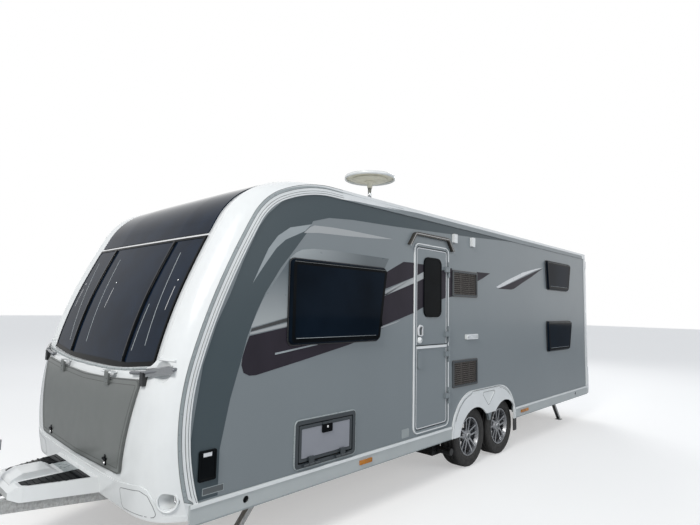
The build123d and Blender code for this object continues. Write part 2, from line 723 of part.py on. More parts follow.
wall_left = wall_blank
for window in LEFT_WINDOWS:
    wall_left = wall_left - wall_hole(grown(window_points(window), -WINDOW_LAP), WINDOW_CORNER)
door_outline = rectangle(DOOR_REAR, DOOR_FRONT, DOOR_BOTTOM, DOOR_TOP)
wall_left = wall_left - wall_hole(door_outline, DOOR_CORNER)
hatch_outline = rectangle(*HATCH)
wall_left = wall_left - wall_hole(grown(hatch_outline, -HATCH_BORDER / 2), HATCH_CORNER)
for vent in VENTS:
    wall_left = wall_left - wall_hole(grown(rectangle(*vent), -VENT_BORDER), VENT_INNER_CORNER)
wall_right = wall_blank
for window in RIGHT_WINDOWS:
    wall_right = wall_right - wall_hole(grown(window_points(window), -WINDOW_LAP), WINDOW_CORNER)
parts["wall_left"] = [wall_left]
parts["wall_right"] = [mirrored(wall_right)]


def side_pane_solid(window):
    pane = prism(window_points(window), "y", HALF, HALF + WINDOW_BULGE, WINDOW_CORNER)
    outer_edges = pane.faces().sort_by(Axis.Y)[-1].edges()
    return chamfer(outer_edges, WINDOW_EDGE)


side_windows = [side_pane_solid(window) for window in LEFT_WINDOWS]
side_windows += [mirrored(side_pane_solid(window)) for window in RIGHT_WINDOWS]
parts["side_windows"] = side_windows


# Roof, rear panel and rear bumper
def roof_section(x, low):
    """The cambered section from a height below the eaves to the roof's skin."""
    outer = ThreePointArc((x, -HALF, EAVES), (x, 0, EAVES + ROOF_CAMBER), (x, HALF, EAVES))
    inner = ThreePointArc((x, HALF, EAVES - low), (x, 0, EAVES + ROOF_CAMBER - low), (x, -HALF, EAVES - low))
    ends = [Line((x, HALF, EAVES), (x, HALF, EAVES - low)), Line((x, -HALF, EAVES - low), (x, -HALF, EAVES))]
    return make_face([outer, ends[0], inner, ends[1]])


def roof_height(y):
    return EAVES + ROOF_CAMBER * (1 - (y / HALF) ** 2)


roof_solid = extrude(roof_section(0, WALL), amount=ROOF_END, dir=(1, 0, 0))
rear_edge = roof_solid.edges().filter_by(GeomType.CIRCLE).group_by(Axis.X)[0].sort_by(Axis.Z)[-1]
roof = fillet(rear_edge, REAR_EDGE_ROUND)
for middle_x, middle_y, length, width in ROOFLIGHTS:
    half_length = length / 2 - ROOFLIGHT_LAP
    half_width = width / 2 - ROOFLIGHT_LAP
    roof = roof - slab(
        middle_x - half_length,
        middle_x + half_length,
        middle_y - half_width,
        middle_y + half_width,
        EAVES - PAST,
        EAVES + PAST,
    )
parts["roof"] = [roof]
parts["rear_panel"] = [slab(0, WALL, -HALF, HALF, FLOOR_BOTTOM, EAVES - WALL)]
rear_bumper = prism(REAR_BUMPER, "y", -HALF, HALF)
lamp_pocket = slab(
    REAR_TIP,
    REAR_TIP + REAR_LAMP_DEPTH,
    REAR_LAMP_HALF - REAR_LAMP_WIDTH,
    REAR_LAMP_HALF,
    REAR_LAMP_BOTTOM,
    REAR_LAMP_TOP,
)
parts["rear_bumper"] = [rear_bumper - lamp_pocket - mirrored(lamp_pocket)]
lamp_half, lamp_z, lamp_rise, lamp_depth = HIGH_LAMP
high_lamp = slab(-lamp_depth, 0, -lamp_half, lamp_half, lamp_z - lamp_rise, lamp_z + lamp_rise)
parts["rear_lamps"] = [lamp_pocket, mirrored(lamp_pocket), high_lamp]


# Rooflight domes
def rooflight(middle_x, middle_y, length, width):
    base_z = roof_height(middle_y) - ROOFLIGHT_BASE
    low = Pos(middle_x, middle_y, base_z) * RectangleRounded(length, width, ROOFLIGHT_CORNERS[0])
    smaller = 2 * ROOFLIGHT_LAP
    high = Pos(middle_x, middle_y, base_z + ROOFLIGHT_HEIGHT) * RectangleRounded(
        length - smaller, width - smaller, ROOFLIGHT_CORNERS[1]
    )
    return loft([low, high]) - roof_solid


parts["rooflights"] = [rooflight(*row) for row in ROOFLIGHTS]

# Edge rails round the front, roof and rear of each side
outer_side = side_face(HALF, 0, 0)
rail_line = side_face(HALF - EDGE_OVERLAP, -EDGE_BAND, EDGE_BAND)
rail_hole = side_face(HALF - EDGE_OVERLAP, -EDGE_BAND - EDGE_RAIL, EDGE_BAND + EDGE_RAIL)
rail_room = slab(-PAST, NOSE_TIP, 0, HALF + PAST, SKIRT_TOP, EAVES + PAST)
outer_band = extrude(outer_side, amount=EDGE_BAND_PROUD, dir=(0, 1, 0))
inner_rail = extrude(rail_line, amount=EDGE_RAIL_PROUD + EDGE_OVERLAP, dir=(0, 1, 0))
inner_rail = inner_rail & slab(0, NOSE_TIP, HALF, HALF + PAST, 0, EAVES + PAST)
edge_rail = (outer_band + inner_rail) - extrude(rail_hole, amount=PAST, dir=(0, 1, 0))
edge_rail = edge_rail & rail_room
parts["edge_rails"] = [edge_rail, mirrored(edge_rail)]

# Skirts, each with a lip along its top, and wheel spats
skirts = []
for rear, front, hole_x in (
    (SPAT_FRONT, SKIRT_FRONT, SKIRT_HOLES[0]),
    (SKIRT_REAR, SPAT_REAR, SKIRT_HOLES[1]),
):
    skirt = slab(rear, front, HALF, HALF + SKIRT_THICK, SKIRT_BOTTOM, SKIRT_TOP)
    lip = slab(rear, front, HALF, HALF + SKIRT_LIP_PROUD, SKIRT_TOP - SKIRT_LIP, SKIRT_TOP)
    hole = rod((hole_x, 0, SKIRT_HOLE_Z), (hole_x, HALF + PAST, SKIRT_HOLE_Z), SKIRT_HOLE_RADIUS)
    skirts.append(skirt + lip - hole)
parts["side_skirts"] = skirts + [mirrored(skirt) for skirt in skirts]


def spat_blank(inset, low, high):
    """The spat's outline, moved in, between two distances from the wall."""
    rear = SPAT_REAR + inset
    front = SPAT_FRONT - inset
    top = SPAT_TOP - inset
    round_radius = SPAT_ROUND - inset
    middle_z = top - round_radius
    blank = slab(rear + round_radius, front - round_radius, low, high, SKIRT_BOTTOM, top)
    for x in (rear + round_radius, front - round_radius):
        blank = blank + rod((x, low, middle_z), (x, high, middle_z), round_radius)
    return blank & slab(rear, front, low, high, SKIRT_BOTTOM, top)


spat_face = HALF + SPAT_THICK
groove_floor = spat_face - SPAT_GROOVE_DEPTH
spat = spat_blank(0, HALF, spat_face)
groove = spat_blank(SPAT_GROOVE[0], groove_floor, HALF + PAST)
spat = spat - (groove - spat_blank(SPAT_GROOVE[1], HALF, HALF + PAST))
spat = spat - prism(SPAT_RECESS, "y", groove_floor, HALF + PAST, SPAT_RECESS_CORNER)
for x in WHEEL_XS:
    opening = rod((x, 0, SPAT_ARCH_Z), (x, HALF + PAST, SPAT_ARCH_Z), SPAT_ARCH_RADIUS)
    spat = spat - (opening & slab(SPAT_ARCH_REAR, SPAT_FRONT, 0, HALF + PAST, 0, EAVES))
spat = spat - slab(WHEEL_XS[1], WHEEL_XS[0], 0, HALF + PAST, 0, SPAT_PRONG_Z)
parts["wheel_spats"] = [spat, mirrored(spat)]

# Entrance door
frame_inner = grown(door_outline, -DOOR_FRAME)
door_frame = prism(door_outline, "y", inside, HALF + DOOR_PROUD, DOOR_CORNER)
door_frame = door_frame - prism(frame_inner, "y", 0, HALF + PAST, DOOR_CORNER - DOOR_FRAME)
leaf_zone = grown(frame_inner, -DOOR_GAP)
leaf_face = HALF + DOOR_LEAF_PROUD
leaf_blank = prism(leaf_zone, "y", inside, leaf_face, DOOR_CORNER - DOOR_FRAME - DOOR_GAP)
half_gap = DOOR_GAP / 2
lower_leaf = leaf_blank & slab(DOOR_REAR, DOOR_FRONT, 0, HALF + PAST, 0, DOOR_SPLIT - half_gap)
upper_leaf = leaf_blank & slab(DOOR_REAR, DOOR_FRONT, 0, HALF + PAST, DOOR_SPLIT + half_gap, EAVES)
door_pane_outline = rectangle(*DOOR_WINDOW)
upper_leaf = upper_leaf - wall_hole(grown(door_pane_outline, -WINDOW_LAP), DOOR_HOLE_CORNER)
door_pane = prism(door_pane_outline, "y", leaf_face, leaf_face + DOOR_PANE_PROUD, DOOR_WINDOW_CORNER)
handle_outline = rectangle(*HANDLE_BOX)
handle_back = leaf_face - HANDLE_DEPTH
lower_leaf = lower_leaf - prism(handle_outline, "y", handle_back, HALF + PAST, HANDLE_CORNER)
door_handle = prism(handle_outline, "y", handle_back, leaf_face + HANDLE_PROUD, HANDLE_CORNER)
hinge_x = DOOR_REAR + DOOR_FRAME / 2
hinge_y = HALF + HINGE_OUT


def door_bar(z0, z1, radius):
    return rod((hinge_x, hinge_y, z0), (hinge_x, hinge_y, z1), radius)


def door_hinge(z):
    """The fixed half, with its pin, and the leaf's half, with its bore."""
    low = z - KNUCKLE / 2
    high = z + KNUCKLE / 2
    fixed = door_bar(low - KNUCKLE, high + KNUCKLE, HINGE_PIN)
    for a, b in ((low - KNUCKLE, low - KNUCKLE_GAP), (high + KNUCKLE_GAP, high + KNUCKLE)):
        block = slab(hinge_x - HINGE_RADIUS, hinge_x + HINGE_RADIUS, HALF + DOOR_PROUD, hinge_y, a, b)
        fixed = fixed + door_bar(a, b, HINGE_RADIUS) + block
    reach = hinge_x + HINGE_REACH
    strap = slab(hinge_x, reach, hinge_y - HINGE_ARM / 2, hinge_y + HINGE_ARM / 2, low, high)
    foot = slab(reach - HINGE_FOOT, reach, leaf_face, hinge_y, low, high)
    moving = strap + foot + door_bar(low, high, HINGE_RADIUS)
    moving = moving - door_bar(low - 1, high + 1, HINGE_PIN + PIN_CLEARANCE)
    return fixed, moving


for z in LOWER_HINGES:
    fixed, moving = door_hinge(z)
    door_frame = door_frame + fixed
    lower_leaf = lower_leaf + moving
for z in UPPER_HINGES:
    fixed, moving = door_hinge(z)
    door_frame = door_frame + fixed
    upper_leaf = upper_leaf + moving
parts["door_frame"] = [door_frame]
parts["door_lower"] = [lower_leaf]
parts["door_upper"] = [upper_leaf]
parts["door_window"] = [door_pane]
parts["door_handle"] = [door_handle]
cowl_outer = [(x, z) for x, z in COWL_LINE]
cowl_blank = grown(cowl_outer[::-1], COWL_WIDTH / 2)
cowl_room = grown(cowl_outer[::-1], -COWL_WIDTH / 2)
cowl = prism(cowl_blank, "y", HALF, HALF + COWL_DEPTH, [1, COWL_CORNER, COWL_CORNER, 1])
cowl = cowl - prism(cowl_room, "y", 0, HALF + PAST, [1, COWL_CORNER - COWL_WIDTH, COWL_CORNER - COWL_WIDTH, 1])
cowl = cowl - slab(0, NOSE_TIP, 0, HALF + PAST, 0, COWL_LINE[0][1] + COWL_WIDTH / 2)

# Locker hatch in the left wall, hinged at its bottom
hatch_inner = grown(hatch_outline, -HATCH_BORDER)
hatch_face = HALF + HATCH_LEAF_PROUD
hatch_frame = prism(hatch_outline, "y", HALF, HALF + HATCH_PROUD, HATCH_CORNER)
hatch_frame = hatch_frame - prism(hatch_inner, "y", 0, HALF + PAST, HATCH_INNER_CORNER)
hatch_leaf = prism(grown(hatch_inner, -HATCH_GAP), "y", inside, hatch_face, HATCH_INNER_CORNER)
hatch_pin_z = HATCH[2] + HATCH_BORDER - HATCH_HINGE_DROP
hatch_pin_y = HALF + HATCH_HINGE_OUT


def hatch_bar(x0, x1, radius):
    return rod((x0, hatch_pin_y, hatch_pin_z), (x1, hatch_pin_y, hatch_pin_z), radius)


for x in (HATCH[0] + HATCH_HINGE_INSET, HATCH[1] - HATCH_HINGE_INSET):
    low = x - KNUCKLE / 2
    high = x + KNUCKLE / 2
    hatch_frame = hatch_frame + hatch_bar(low - KNUCKLE, high + KNUCKLE, HINGE_PIN)
    for a, b in ((low - KNUCKLE, low - KNUCKLE_GAP), (high + KNUCKLE_GAP, high + KNUCKLE)):
        block = slab(a, b, HALF + HATCH_PROUD, hatch_pin_y, hatch_pin_z - HINGE_RADIUS, hatch_pin_z + 2)
        hatch_frame = hatch_frame + hatch_bar(a, b, HINGE_RADIUS) + block
    arm_top = hatch_pin_z + HATCH_ARM
    arm = slab(low, high, hatch_pin_y - HINGE_ARM / 2, hatch_pin_y + HINGE_ARM / 2, hatch_pin_z, arm_top)
    foot = slab(low, high, hatch_face, hatch_pin_y, arm_top - HATCH_FOOT, arm_top)
    knuckle = arm + foot + hatch_bar(low, high, HINGE_RADIUS)
    hatch_leaf = hatch_leaf + (knuckle - hatch_bar(low - 1, high + 1, HINGE_PIN + PIN_CLEARANCE))
latch_half, latch_height, latch_proud = HATCH_LATCH
latch_top = HATCH[3] - HATCH_BORDER - HATCH_GAP
latch_x = (HATCH[0] + HATCH[1]) / 2
latch_face = hatch_face + latch_proud
latch_low = latch_top - latch_height
latch = slab(latch_x - latch_half, latch_x + latch_half, hatch_face, latch_face, latch_low, latch_top)
parts["hatch_frame"] = [hatch_frame]
parts["locker_hatch"] = [hatch_leaf + latch]

# Fridge vents: frames with slats and upright posts
vents = []
for rear, front, bottom, top in VENTS:
    outline = rectangle(rear, front, bottom, top)
    frame = prism(outline, "y", HALF, HALF + VENT_PROUD, VENT_CORNER)
    frame = frame - prism(grown(outline, -VENT_BORDER), "y", 0, HALF + PAST, VENT_INNER_CORNER)
    slat_rear = rear + VENT_BORDER - 2
    slat_front = front - VENT_BORDER + 2
    slat_face = HALF + VENT_SLAT_DEPTH
    pitch = (top - bottom - 2 * VENT_BORDER) / VENT_SLATS
    for i in range(VENT_SLATS):
        z = bottom + VENT_BORDER + pitch * (i + 0.5)
        frame = frame + slab(slat_rear, slat_front, HALF, slat_face, z - VENT_SLAT / 2, z + VENT_SLAT / 2)
    for i in range(VENT_POSTS):
        x = rear + (front - rear) * (i + 1) / (VENT_POSTS + 1)
        frame = frame + slab(x - VENT_SLAT / 2, x + VENT_SLAT / 2, HALF, slat_face, bottom + 2, top - 2)
    vents.append(frame)
parts["fridge_vents"] = vents


# Lamps and small fittings on the sides
def side_fitting(row):
    rear, front, bottom, top, depth = row
    return prism(rectangle(rear, front, bottom, top), "y", HALF, HALF + depth, FITTING_CORNER)


parts["awning_lamps"] = [side_fitting(row) for row in AWNING_LAMPS] + [side_fitting(SIDE_LIGHT)]
parts["side_fittings"] = [side_fitting(SERVICE_BOX), cowl]
markers = []
marker_back = HALF + SKIRT_THICK
for rear, front, bottom, top in SIDE_MARKERS:
    marker = slab(rear, front, marker_back, marker_back + MARKER_PROUD, bottom, top)
    markers += [marker, mirrored(marker)]
parts["side_markers"] = markers


# Grab handles at the front corners, each with a black bracket, and handles at the back
def bent_bar(points, radius):
    bar = Pos(*points[0]) * Sphere(radius)
    for start, end in zip(points, points[1:]):
        bar = bar + rod(start, end, radius) + Pos(*end) * Sphere(radius)
    return bar


grab = bent_bar(GRAB_POINTS, HANDLE_BAR)
for x, y, z in (GRAB_POINTS[0], GRAB_POINTS[-1]):
    foot = rod((x, y, z), (x - GRAB_FOOT_DEPTH, y - GRAB_FOOT_DRIFT, z), HANDLE_BAR)
    grab = grab + (foot - nose_outer)
bracket_reach, bracket_half, bracket_drop = GRAB_BRACKET
end_x, end_y, end_z = GRAB_POINTS[1]
bracket = slab(
    end_x - PAST,
    end_x + bracket_reach,
    end_y - 4 * bracket_half,
    end_y - bracket_half,
    end_z - 2 * bracket_drop,
    end_z,
)
bracket = bracket - nose_outer - bent_bar(GRAB_POINTS, HANDLE_BAR)
rear_points = [(-REAR_HANDLE_OUT, REAR_HANDLE_Y, z) for z in (REAR_HANDLE_BOTTOM, REAR_HANDLE_TOP)]
rear_grab = bent_bar(rear_points, HANDLE_BAR)
for x, y, z in rear_points:
    rear_grab = rear_grab + rod((x, y, z), (0, y, z), HANDLE_BAR)
parts["grab_handles"] = [grab, mirrored(grab), rear_grab, mirrored(rear_grab)]
parts["grab_brackets"] = [bracket, mirrored(bracket)]

# Chassis rails, cross members and drawbars
rail_low = FLOOR_BOTTOM - RAIL_HEIGHT
rail_outside = RAIL_Y + RAIL_WIDTH / 2
rail_inside = RAIL_Y - RAIL_WIDTH / 2
rail = slab(RAIL_REAR, RAIL_FRONT, rail_inside, rail_outside, rail_low, FLOOR_BOTTOM)
rail = rail - slab(
    RAIL_REAR - 1,
    RAIL_FRONT + 1,
    rail_inside - 1,
    rail_outside - RAIL_WEB,
    rail_low + RAIL_WEB,
    FLOOR_BOTTOM - RAIL_WEB,
)
parts["chassis_rails"] = [rail, mirrored(rail)]
half_cross = CROSS_WIDTH / 2
cross_low = FLOOR_BOTTOM - CROSS_HEIGHT
parts["cross_members"] = [
    slab(x - half_cross, x + half_cross, -rail_inside, rail_inside, cross_low, FLOOR_BOTTOM) for x in CROSS_XS
]
bar_front = COUPLING_BACK + DRAWBAR_OVERLAP
slope = (RAIL_Y - COUPLING_HALF) / (bar_front - RAIL_FRONT)
bar_half = DRAWBAR_WIDTH / 2 * math.sqrt(1 + slope ** 2)
drawbar_outline = [
    (RAIL_FRONT, RAIL_Y - bar_half),
    (bar_front, COUPLING_HALF - bar_half),
    (bar_front, COUPLING_HALF + bar_half),
    (RAIL_FRONT, RAIL_Y + bar_half),
]
drawbar = prism(drawbar_outline, "z", FLOOR_BOTTOM - DRAWBAR_HEIGHT, FLOOR_BOTTOM)
parts["drawbars"] = [drawbar, mirrored(drawbar)]
bar_room = prism(grown(drawbar_outline, COVER_BAR_GAP), "z", 0, FLOOR_BOTTOM + COVER_BAR_GAP)
parts["front_bumper"] = [parts["front_bumper"][0] - bar_room - mirrored(bar_room)]


# Coupling head with the ball's socket, and the brake lever behind it
def upright(x, z0, z1, radius):
    return rod((x, 0, z0), (x, 0, z1), radius)


coupling_top = FLOOR_BOTTOM + COUPLING_DEPTH
head_top = FLOOR_BOTTOM + HEAD_DEPTH
coupling = slab(COUPLING_BACK, BALL_X, -COUPLING_HALF, COUPLING_HALF, FLOOR_BOTTOM, coupling_top)
coupling = coupling + upright(BALL_X, SOCKET_SKIRT, head_top, BALL_RADIUS + SOCKET_WALL)
nose = upright(BALL_X, FLOOR_BOTTOM, head_top, NOSE_TIP - BALL_X)
coupling = coupling + (nose & slab(BALL_X, NOSE_TIP, -COUPLING_HALF, COUPLING_HALF, 0, EAVES))
coupling = coupling - upright(BALL_X, SOCKET_SKIRT - PAST, SOCKET_TOP, BALL_RADIUS)
coupling = coupling - Pos(BALL_X, 0, SOCKET_TOP) * Sphere(BALL_RADIUS)
handle_rear, handle_front, handle_half, handle_rise = COUPLING_HANDLE
handle_profile = [
    (handle_rear, coupling_top + handle_rise),
    (handle_rear, coupling_top + handle_rise / 2),
    (BALL_X - 2 * handle_half, coupling_top),
    (BALL_X - 2 * handle_half, head_top),
    (handle_front, head_top),
    (handle_front, coupling_top + handle_rise / 2),
]
coupling = coupling + prism(handle_profile[::-1], "y", -handle_half, handle_half)
parts["coupling_head"] = [coupling]
base_half, base_side, base_rise = LEVER_BASE
lever = slab(LEVER_X - base_half, LEVER_X + base_half, -base_side, base_side, coupling_top, coupling_top + base_rise)
lever_foot = (LEVER_X, 0, coupling_top + base_rise / 2)
lever = lever + rod(lever_foot, (LEVER_X - LEVER_LEAN, 0, FLOOR_BOTTOM + LEVER_HEIGHT), LEVER_RADIUS)
parts["brake_lever"] = [lever]

# Axles: a tube across, trailing arms and stubs
axle_solids = []
for x in WHEEL_XS:
    tube_x = x + AXLE_LEAD
    axle = rod((tube_x, -ARM_Y, AXLE_TUBE_HEIGHT), (tube_x, ARM_Y, AXLE_TUBE_HEIGHT), AXLE_TUBE_RADIUS)
    axle = axle - parts["chassis_rails"][0] - parts["chassis_rails"][1]
    arm_outer = ARM_Y + ARM_THICK
    arm = rod((tube_x, ARM_Y, AXLE_TUBE_HEIGHT), (tube_x, arm_outer, AXLE_TUBE_HEIGHT), ARM_EYE)
    arm = arm + rod((x, ARM_Y, TYRE_RADIUS), (x, arm_outer, TYRE_RADIUS), ARM_HUB_EYE)
    web_points = [
        (x, TYRE_RADIUS - ARM_WEB_HUB),
        (tube_x, AXLE_TUBE_HEIGHT - ARM_WEB_TUBE),
        (tube_x, AXLE_TUBE_HEIGHT + ARM_WEB_TUBE),
        (x, TYRE_RADIUS + ARM_WEB_HUB),
    ]
    arm = arm + prism(web_points, "y", ARM_Y, arm_outer)
    arm = arm + rod((x, ARM_Y, TYRE_RADIUS), (x, STUB_END, TYRE_RADIUS), STUB_RADIUS)
    arm = arm + rod((x, arm_outer, TYRE_RADIUS), (x, arm_outer + BACK_PLATE, TYRE_RADIUS), DRUM_RADIUS)
    axle_solids.append(axle + arm + mirrored(arm))
parts["axles"] = axle_solids


# Wheels: tyre, rim and drum turned round the stub
def turned(profile):
    """Turns an outline of (distance out, radius) pairs round the wheel's axis, at the body's middle."""
    corners = [(0, out, radius) for out, radius in profile]
    return revolve(make_face(Polyline(*corners, close=True)), Axis.Y, 360)


half_tyre = TYRE_WIDTH / 2
half_rim = RIM_WIDTH / 2
tyre_half_profile = [
    (half_rim, RIM_RADIUS),
    (half_tyre, RIM_RADIUS + TYRE_BEAD),
    (half_tyre, TYRE_RADIUS - TYRE_SHOULDER),
    (half_tyre - TYRE_SHOULDER / 2, TYRE_RADIUS - TYRE_CROWN),
    (half_tyre - TYRE_SHOULDER * 1.3, TYRE_RADIUS),
]
tyre = turned(tyre_half_profile + [(-out, radius) for out, radius in reversed(tyre_half_profile)])

drum_start = ARM_Y + ARM_THICK + BACK_PLATE + HUB_GAP - WHEEL_MIDDLE_Y
drum_end = drum_start + DRUM_WIDTH
bore_radius = STUB_RADIUS + STUB_CLEARANCE
barrel_profile = [
    (half_rim, RIM_RADIUS - RIM_LIP),
    (half_rim, RIM_RADIUS),
    (-half_rim, RIM_RADIUS),
    (-half_rim, RIM_RADIUS - RIM_WALL),
    (half_rim - RIM_LEDGE, RIM_RADIUS - RIM_WALL),
    (half_rim - RIM_LEDGE, RIM_RADIUS - 2 * RIM_LIP),
]
hub_profile = [
    (drum_start, bore_radius),
    (HUB_FACE, bore_radius),
    (HUB_FACE, HUB_RADIUS),
    (HUB_FACE - SPOKE_DEPTH, DRUM_NECK),
    (drum_end, DRUM_NECK),
    (drum_end, DRUM_RADIUS),
    (drum_start, DRUM_RADIUS),
]
dish_profile = [
    (SPOKE_FACE_HUB, HUB_CAP_RADIUS),
    (SPOKE_FACE_RIM, RIM_RADIUS - RIM_LIP),
    (SPOKE_FACE_RIM - SPOKE_DEPTH, RIM_RADIUS - RIM_LIP),
    (SPOKE_FACE_HUB - SPOKE_DEPTH, HUB_CAP_RADIUS),
]
spoke_end = RIM_RADIUS - RIM_LIP
spoke_start_shift = spoke_end * math.sin(math.radians(SPOKE_HALF_ANGLE))
spoke_lean = math.tan(math.radians(SPOKE_TOE)) * spoke_end
spokes = None
for i in range(SPOKE_PAIRS):
    for side in (-1, 1):
        low_x = side * (spoke_start_shift - spoke_lean)
        high_x = side * spoke_start_shift
        outline = [
            (low_x - SPOKE_WIDTH / 2, 0),
            (low_x + SPOKE_WIDTH / 2, 0),
            (high_x + SPOKE_WIDTH / 2, spoke_end),
            (high_x - SPOKE_WIDTH / 2, spoke_end),
        ]
        spoke = Rot(0, 360 * i / SPOKE_PAIRS, 0) * prism(outline, "y", 0, half_rim)
        spokes = spoke if spokes is None else spokes + spoke
rim = turned(barrel_profile) + turned(hub_profile) + (spokes & turned(dish_profile))
bore = rod((0, -TYRE_WIDTH, 0), (0, HUB_FACE, 0), bore_radius)
rim = rim - bore
for row, x in zip(("front", "rear"), WHEEL_XS):
    place = Pos(x, WHEEL_MIDDLE_Y, TYRE_RADIUS)
    parts["tyre_" + row + "_left"] = [place * tyre]
    parts["tyre_" + row + "_right"] = [mirrored(place * tyre)]
    parts["rim_" + row + "_left"] = [place * rim]
    parts["rim_" + row + "_right"] = [mirrored(place * rim)]


# Steadies
def steady(pin_x, direction):
    """A leg and its bracket on the left. Direction is +1 where the foot points forward, else -1."""
    angle = math.radians(STEADY_ANGLE)
    foot_top = FOOT_LIFT + FOOT_THICK
    length = (STEADY_PIN_Z - foot_top) / math.sin(angle)
    foot_x = pin_x + direction * length * math.cos(angle)
    low = STEADY_Y - STEADY_WIDTH / 2
    high = STEADY_Y + STEADY_WIDTH / 2
    half = STEADY_HEIGHT / 2
    bar = slab(0, length + half, low, high, -half, half)
    channel = slab(STEADY_CHANNEL_START, length + PAST, low + STEADY_WEB, high - STEADY_WEB, -PAST, half - STEADY_WEB)
    bar = Rot(0, STEADY_ANGLE, 0) * (bar - channel)
    if direction < 0:
        bar = mirror(bar, about=Plane.YZ)
    leg = Pos(pin_x, 0, STEADY_PIN_Z) * bar
    leg = leg & slab(pin_x - length, pin_x + length, low, high, FOOT_LIFT, FLOOR_BOTTOM)
    leg = leg + rod((pin_x, low, STEADY_PIN_Z), (pin_x, high, STEADY_PIN_Z), half)
    half_foot = FOOT_LENGTH / 2
    half_width = FOOT_WIDTH / 2
    leg = leg + slab(
        foot_x - half_foot, foot_x + half_foot, STEADY_Y - half_width, STEADY_Y + half_width, FOOT_LIFT, foot_top
    )
    leg = leg - rod((pin_x, low - 1, STEADY_PIN_Z), (pin_x, high + 1, STEADY_PIN_Z), STEADY_PIN + PIN_CLEARANCE)
    inner = STEADY_WIDTH / 2 + STEADY_SIDE_GAP
    outer = inner + STEADY_CHEEK
    bracket = rod((pin_x, STEADY_Y - outer, STEADY_PIN_Z), (pin_x, STEADY_Y + outer, STEADY_PIN_Z), STEADY_PIN)
    for side in (-1, 1):
        bracket = bracket + slab(
            pin_x - STEADY_CHEEK_HALF,
            pin_x + STEADY_CHEEK_HALF,
            STEADY_Y + side * inner,
            STEADY_Y + side * outer,
            STEADY_PIN_Z - STEADY_CHEEK_DROP,
            FLOOR_BOTTOM,
        )
    bracket = bracket + slab(
        pin_x - STEADY_PLATE_HALF,
        pin_x + STEADY_PLATE_HALF,
        STEADY_Y - outer,
        STEADY_Y + outer,
        FLOOR_BOTTOM - STEADY_CHEEK,
        FLOOR_BOTTOM,
    )
    return leg, bracket


brackets = []
for row, pin_x, direction in (("front", FRONT_STEADY_X, 1), ("rear", REAR_STEADY_X, -1)):
    leg, bracket = steady(pin_x, direction)
    parts["steady_" + row + "_left"] = [leg]
    parts["steady_" + row + "_right"] = [mirrored(leg)]
    brackets += [bracket, mirrored(bracket)]
parts["steady_brackets"] = brackets

# Jockey wheel: fixed tube, sliding tube, fork that swivels, and wheel
crown_top = JOCKEY_CROWN + JOCKEY_CROWN_THICK
collar_top = crown_top + JOCKEY_COLLAR_TOP
tube_bottom = collar_top + JOCKEY_TRAVEL + KNUCKLE_GAP
fixed_tube = tube(
    (JOCKEY_X, 0, tube_bottom), (JOCKEY_X, 0, JOCKEY_TUBE_TOP), JOCKEY_TUBE, JOCKEY_INNER + JOCKEY_SLIDE_GAP
)
drawbar_inner = RAIL_Y - slope * (JOCKEY_X - RAIL_FRONT) - bar_half
clamp_half_y = drawbar_inner + CLAMP_LAP
clamp_top = FLOOR_BOTTOM + CLAMP_HEIGHT
clamp = slab(
    JOCKEY_X - CLAMP_HALF, JOCKEY_X + CLAMP_HALF, -clamp_half_y, clamp_half_y, FLOOR_BOTTOM, clamp_top
)
clamp = clamp - upright(JOCKEY_X, 0, EAVES, JOCKEY_TUBE - 1)
cap = upright(JOCKEY_X, JOCKEY_TUBE_TOP, JOCKEY_TUBE_TOP + CAP_HEIGHT, JOCKEY_TUBE)
crank_z = JOCKEY_TUBE_TOP + CAP_HEIGHT / 2
knob_radius, knob_length = CRANK_KNOB
crank = rod((JOCKEY_X, 0, crank_z), (JOCKEY_X - CRANK_REACH, 0, crank_z), CRANK_BAR)
crank = crank + upright(JOCKEY_X - CRANK_REACH, crank_z - CRANK_BAR, crank_z + knob_length, knob_radius)
parts["jockey_tube"] = [fixed_tube + clamp + cap + crank]
parts["jockey_slide"] = [
    upright(JOCKEY_X, collar_top - 1, JOCKEY_INNER_TOP, JOCKEY_INNER)
    + upright(JOCKEY_X, crown_top + 1, collar_top, JOCKEY_COLLAR)
    + upright(JOCKEY_X, JOCKEY_CROWN - JOCKEY_SIDE, crown_top + 2, JOCKEY_AXLE)
]
jockey_axle_x = JOCKEY_X - JOCKEY_TRAIL
plate_inner = JOCKEY_WIDTH / 2 + JOCKEY_SIDE
plate_outer = plate_inner + JOCKEY_PLATE
crown_back = JOCKEY_X - JOCKEY_CROWN_BACK
crown_front = JOCKEY_X + JOCKEY_CROWN_FRONT
crown = slab(crown_back, crown_front, -plate_outer, plate_outer, JOCKEY_CROWN, crown_top)
fork = crown - upright(JOCKEY_X, JOCKEY_CROWN - 1, crown_top + 1, JOCKEY_AXLE + PIN_CLEARANCE)
plate_points = [
    (jockey_axle_x - JOCKEY_PLATE_EYE, JOCKEY_RADIUS - JOCKEY_PLATE_EYE),
    (jockey_axle_x + JOCKEY_PLATE_EYE, JOCKEY_RADIUS - JOCKEY_PLATE_EYE),
    (crown_front, crown_top),
    (crown_back, crown_top),
]
plate = prism(plate_points, "y", plate_inner, plate_outer)


def jockey_rod(half_length, radius):
    return rod((jockey_axle_x, -half_length, JOCKEY_RADIUS), (jockey_axle_x, half_length, JOCKEY_RADIUS), radius)


parts["jockey_fork"] = [fork + plate + mirrored(plate) + jockey_rod(plate_outer, JOCKEY_AXLE)]
jockey_wheel = jockey_rod(JOCKEY_WIDTH / 2, JOCKEY_RADIUS)
jockey_wheel = chamfer(jockey_wheel.edges().filter_by(GeomType.CIRCLE), JOCKEY_ROUND)
parts["jockey_wheel"] = [jockey_wheel - jockey_rod(JOCKEY_WIDTH, JOCKEY_AXLE + PIN_CLEARANCE)]

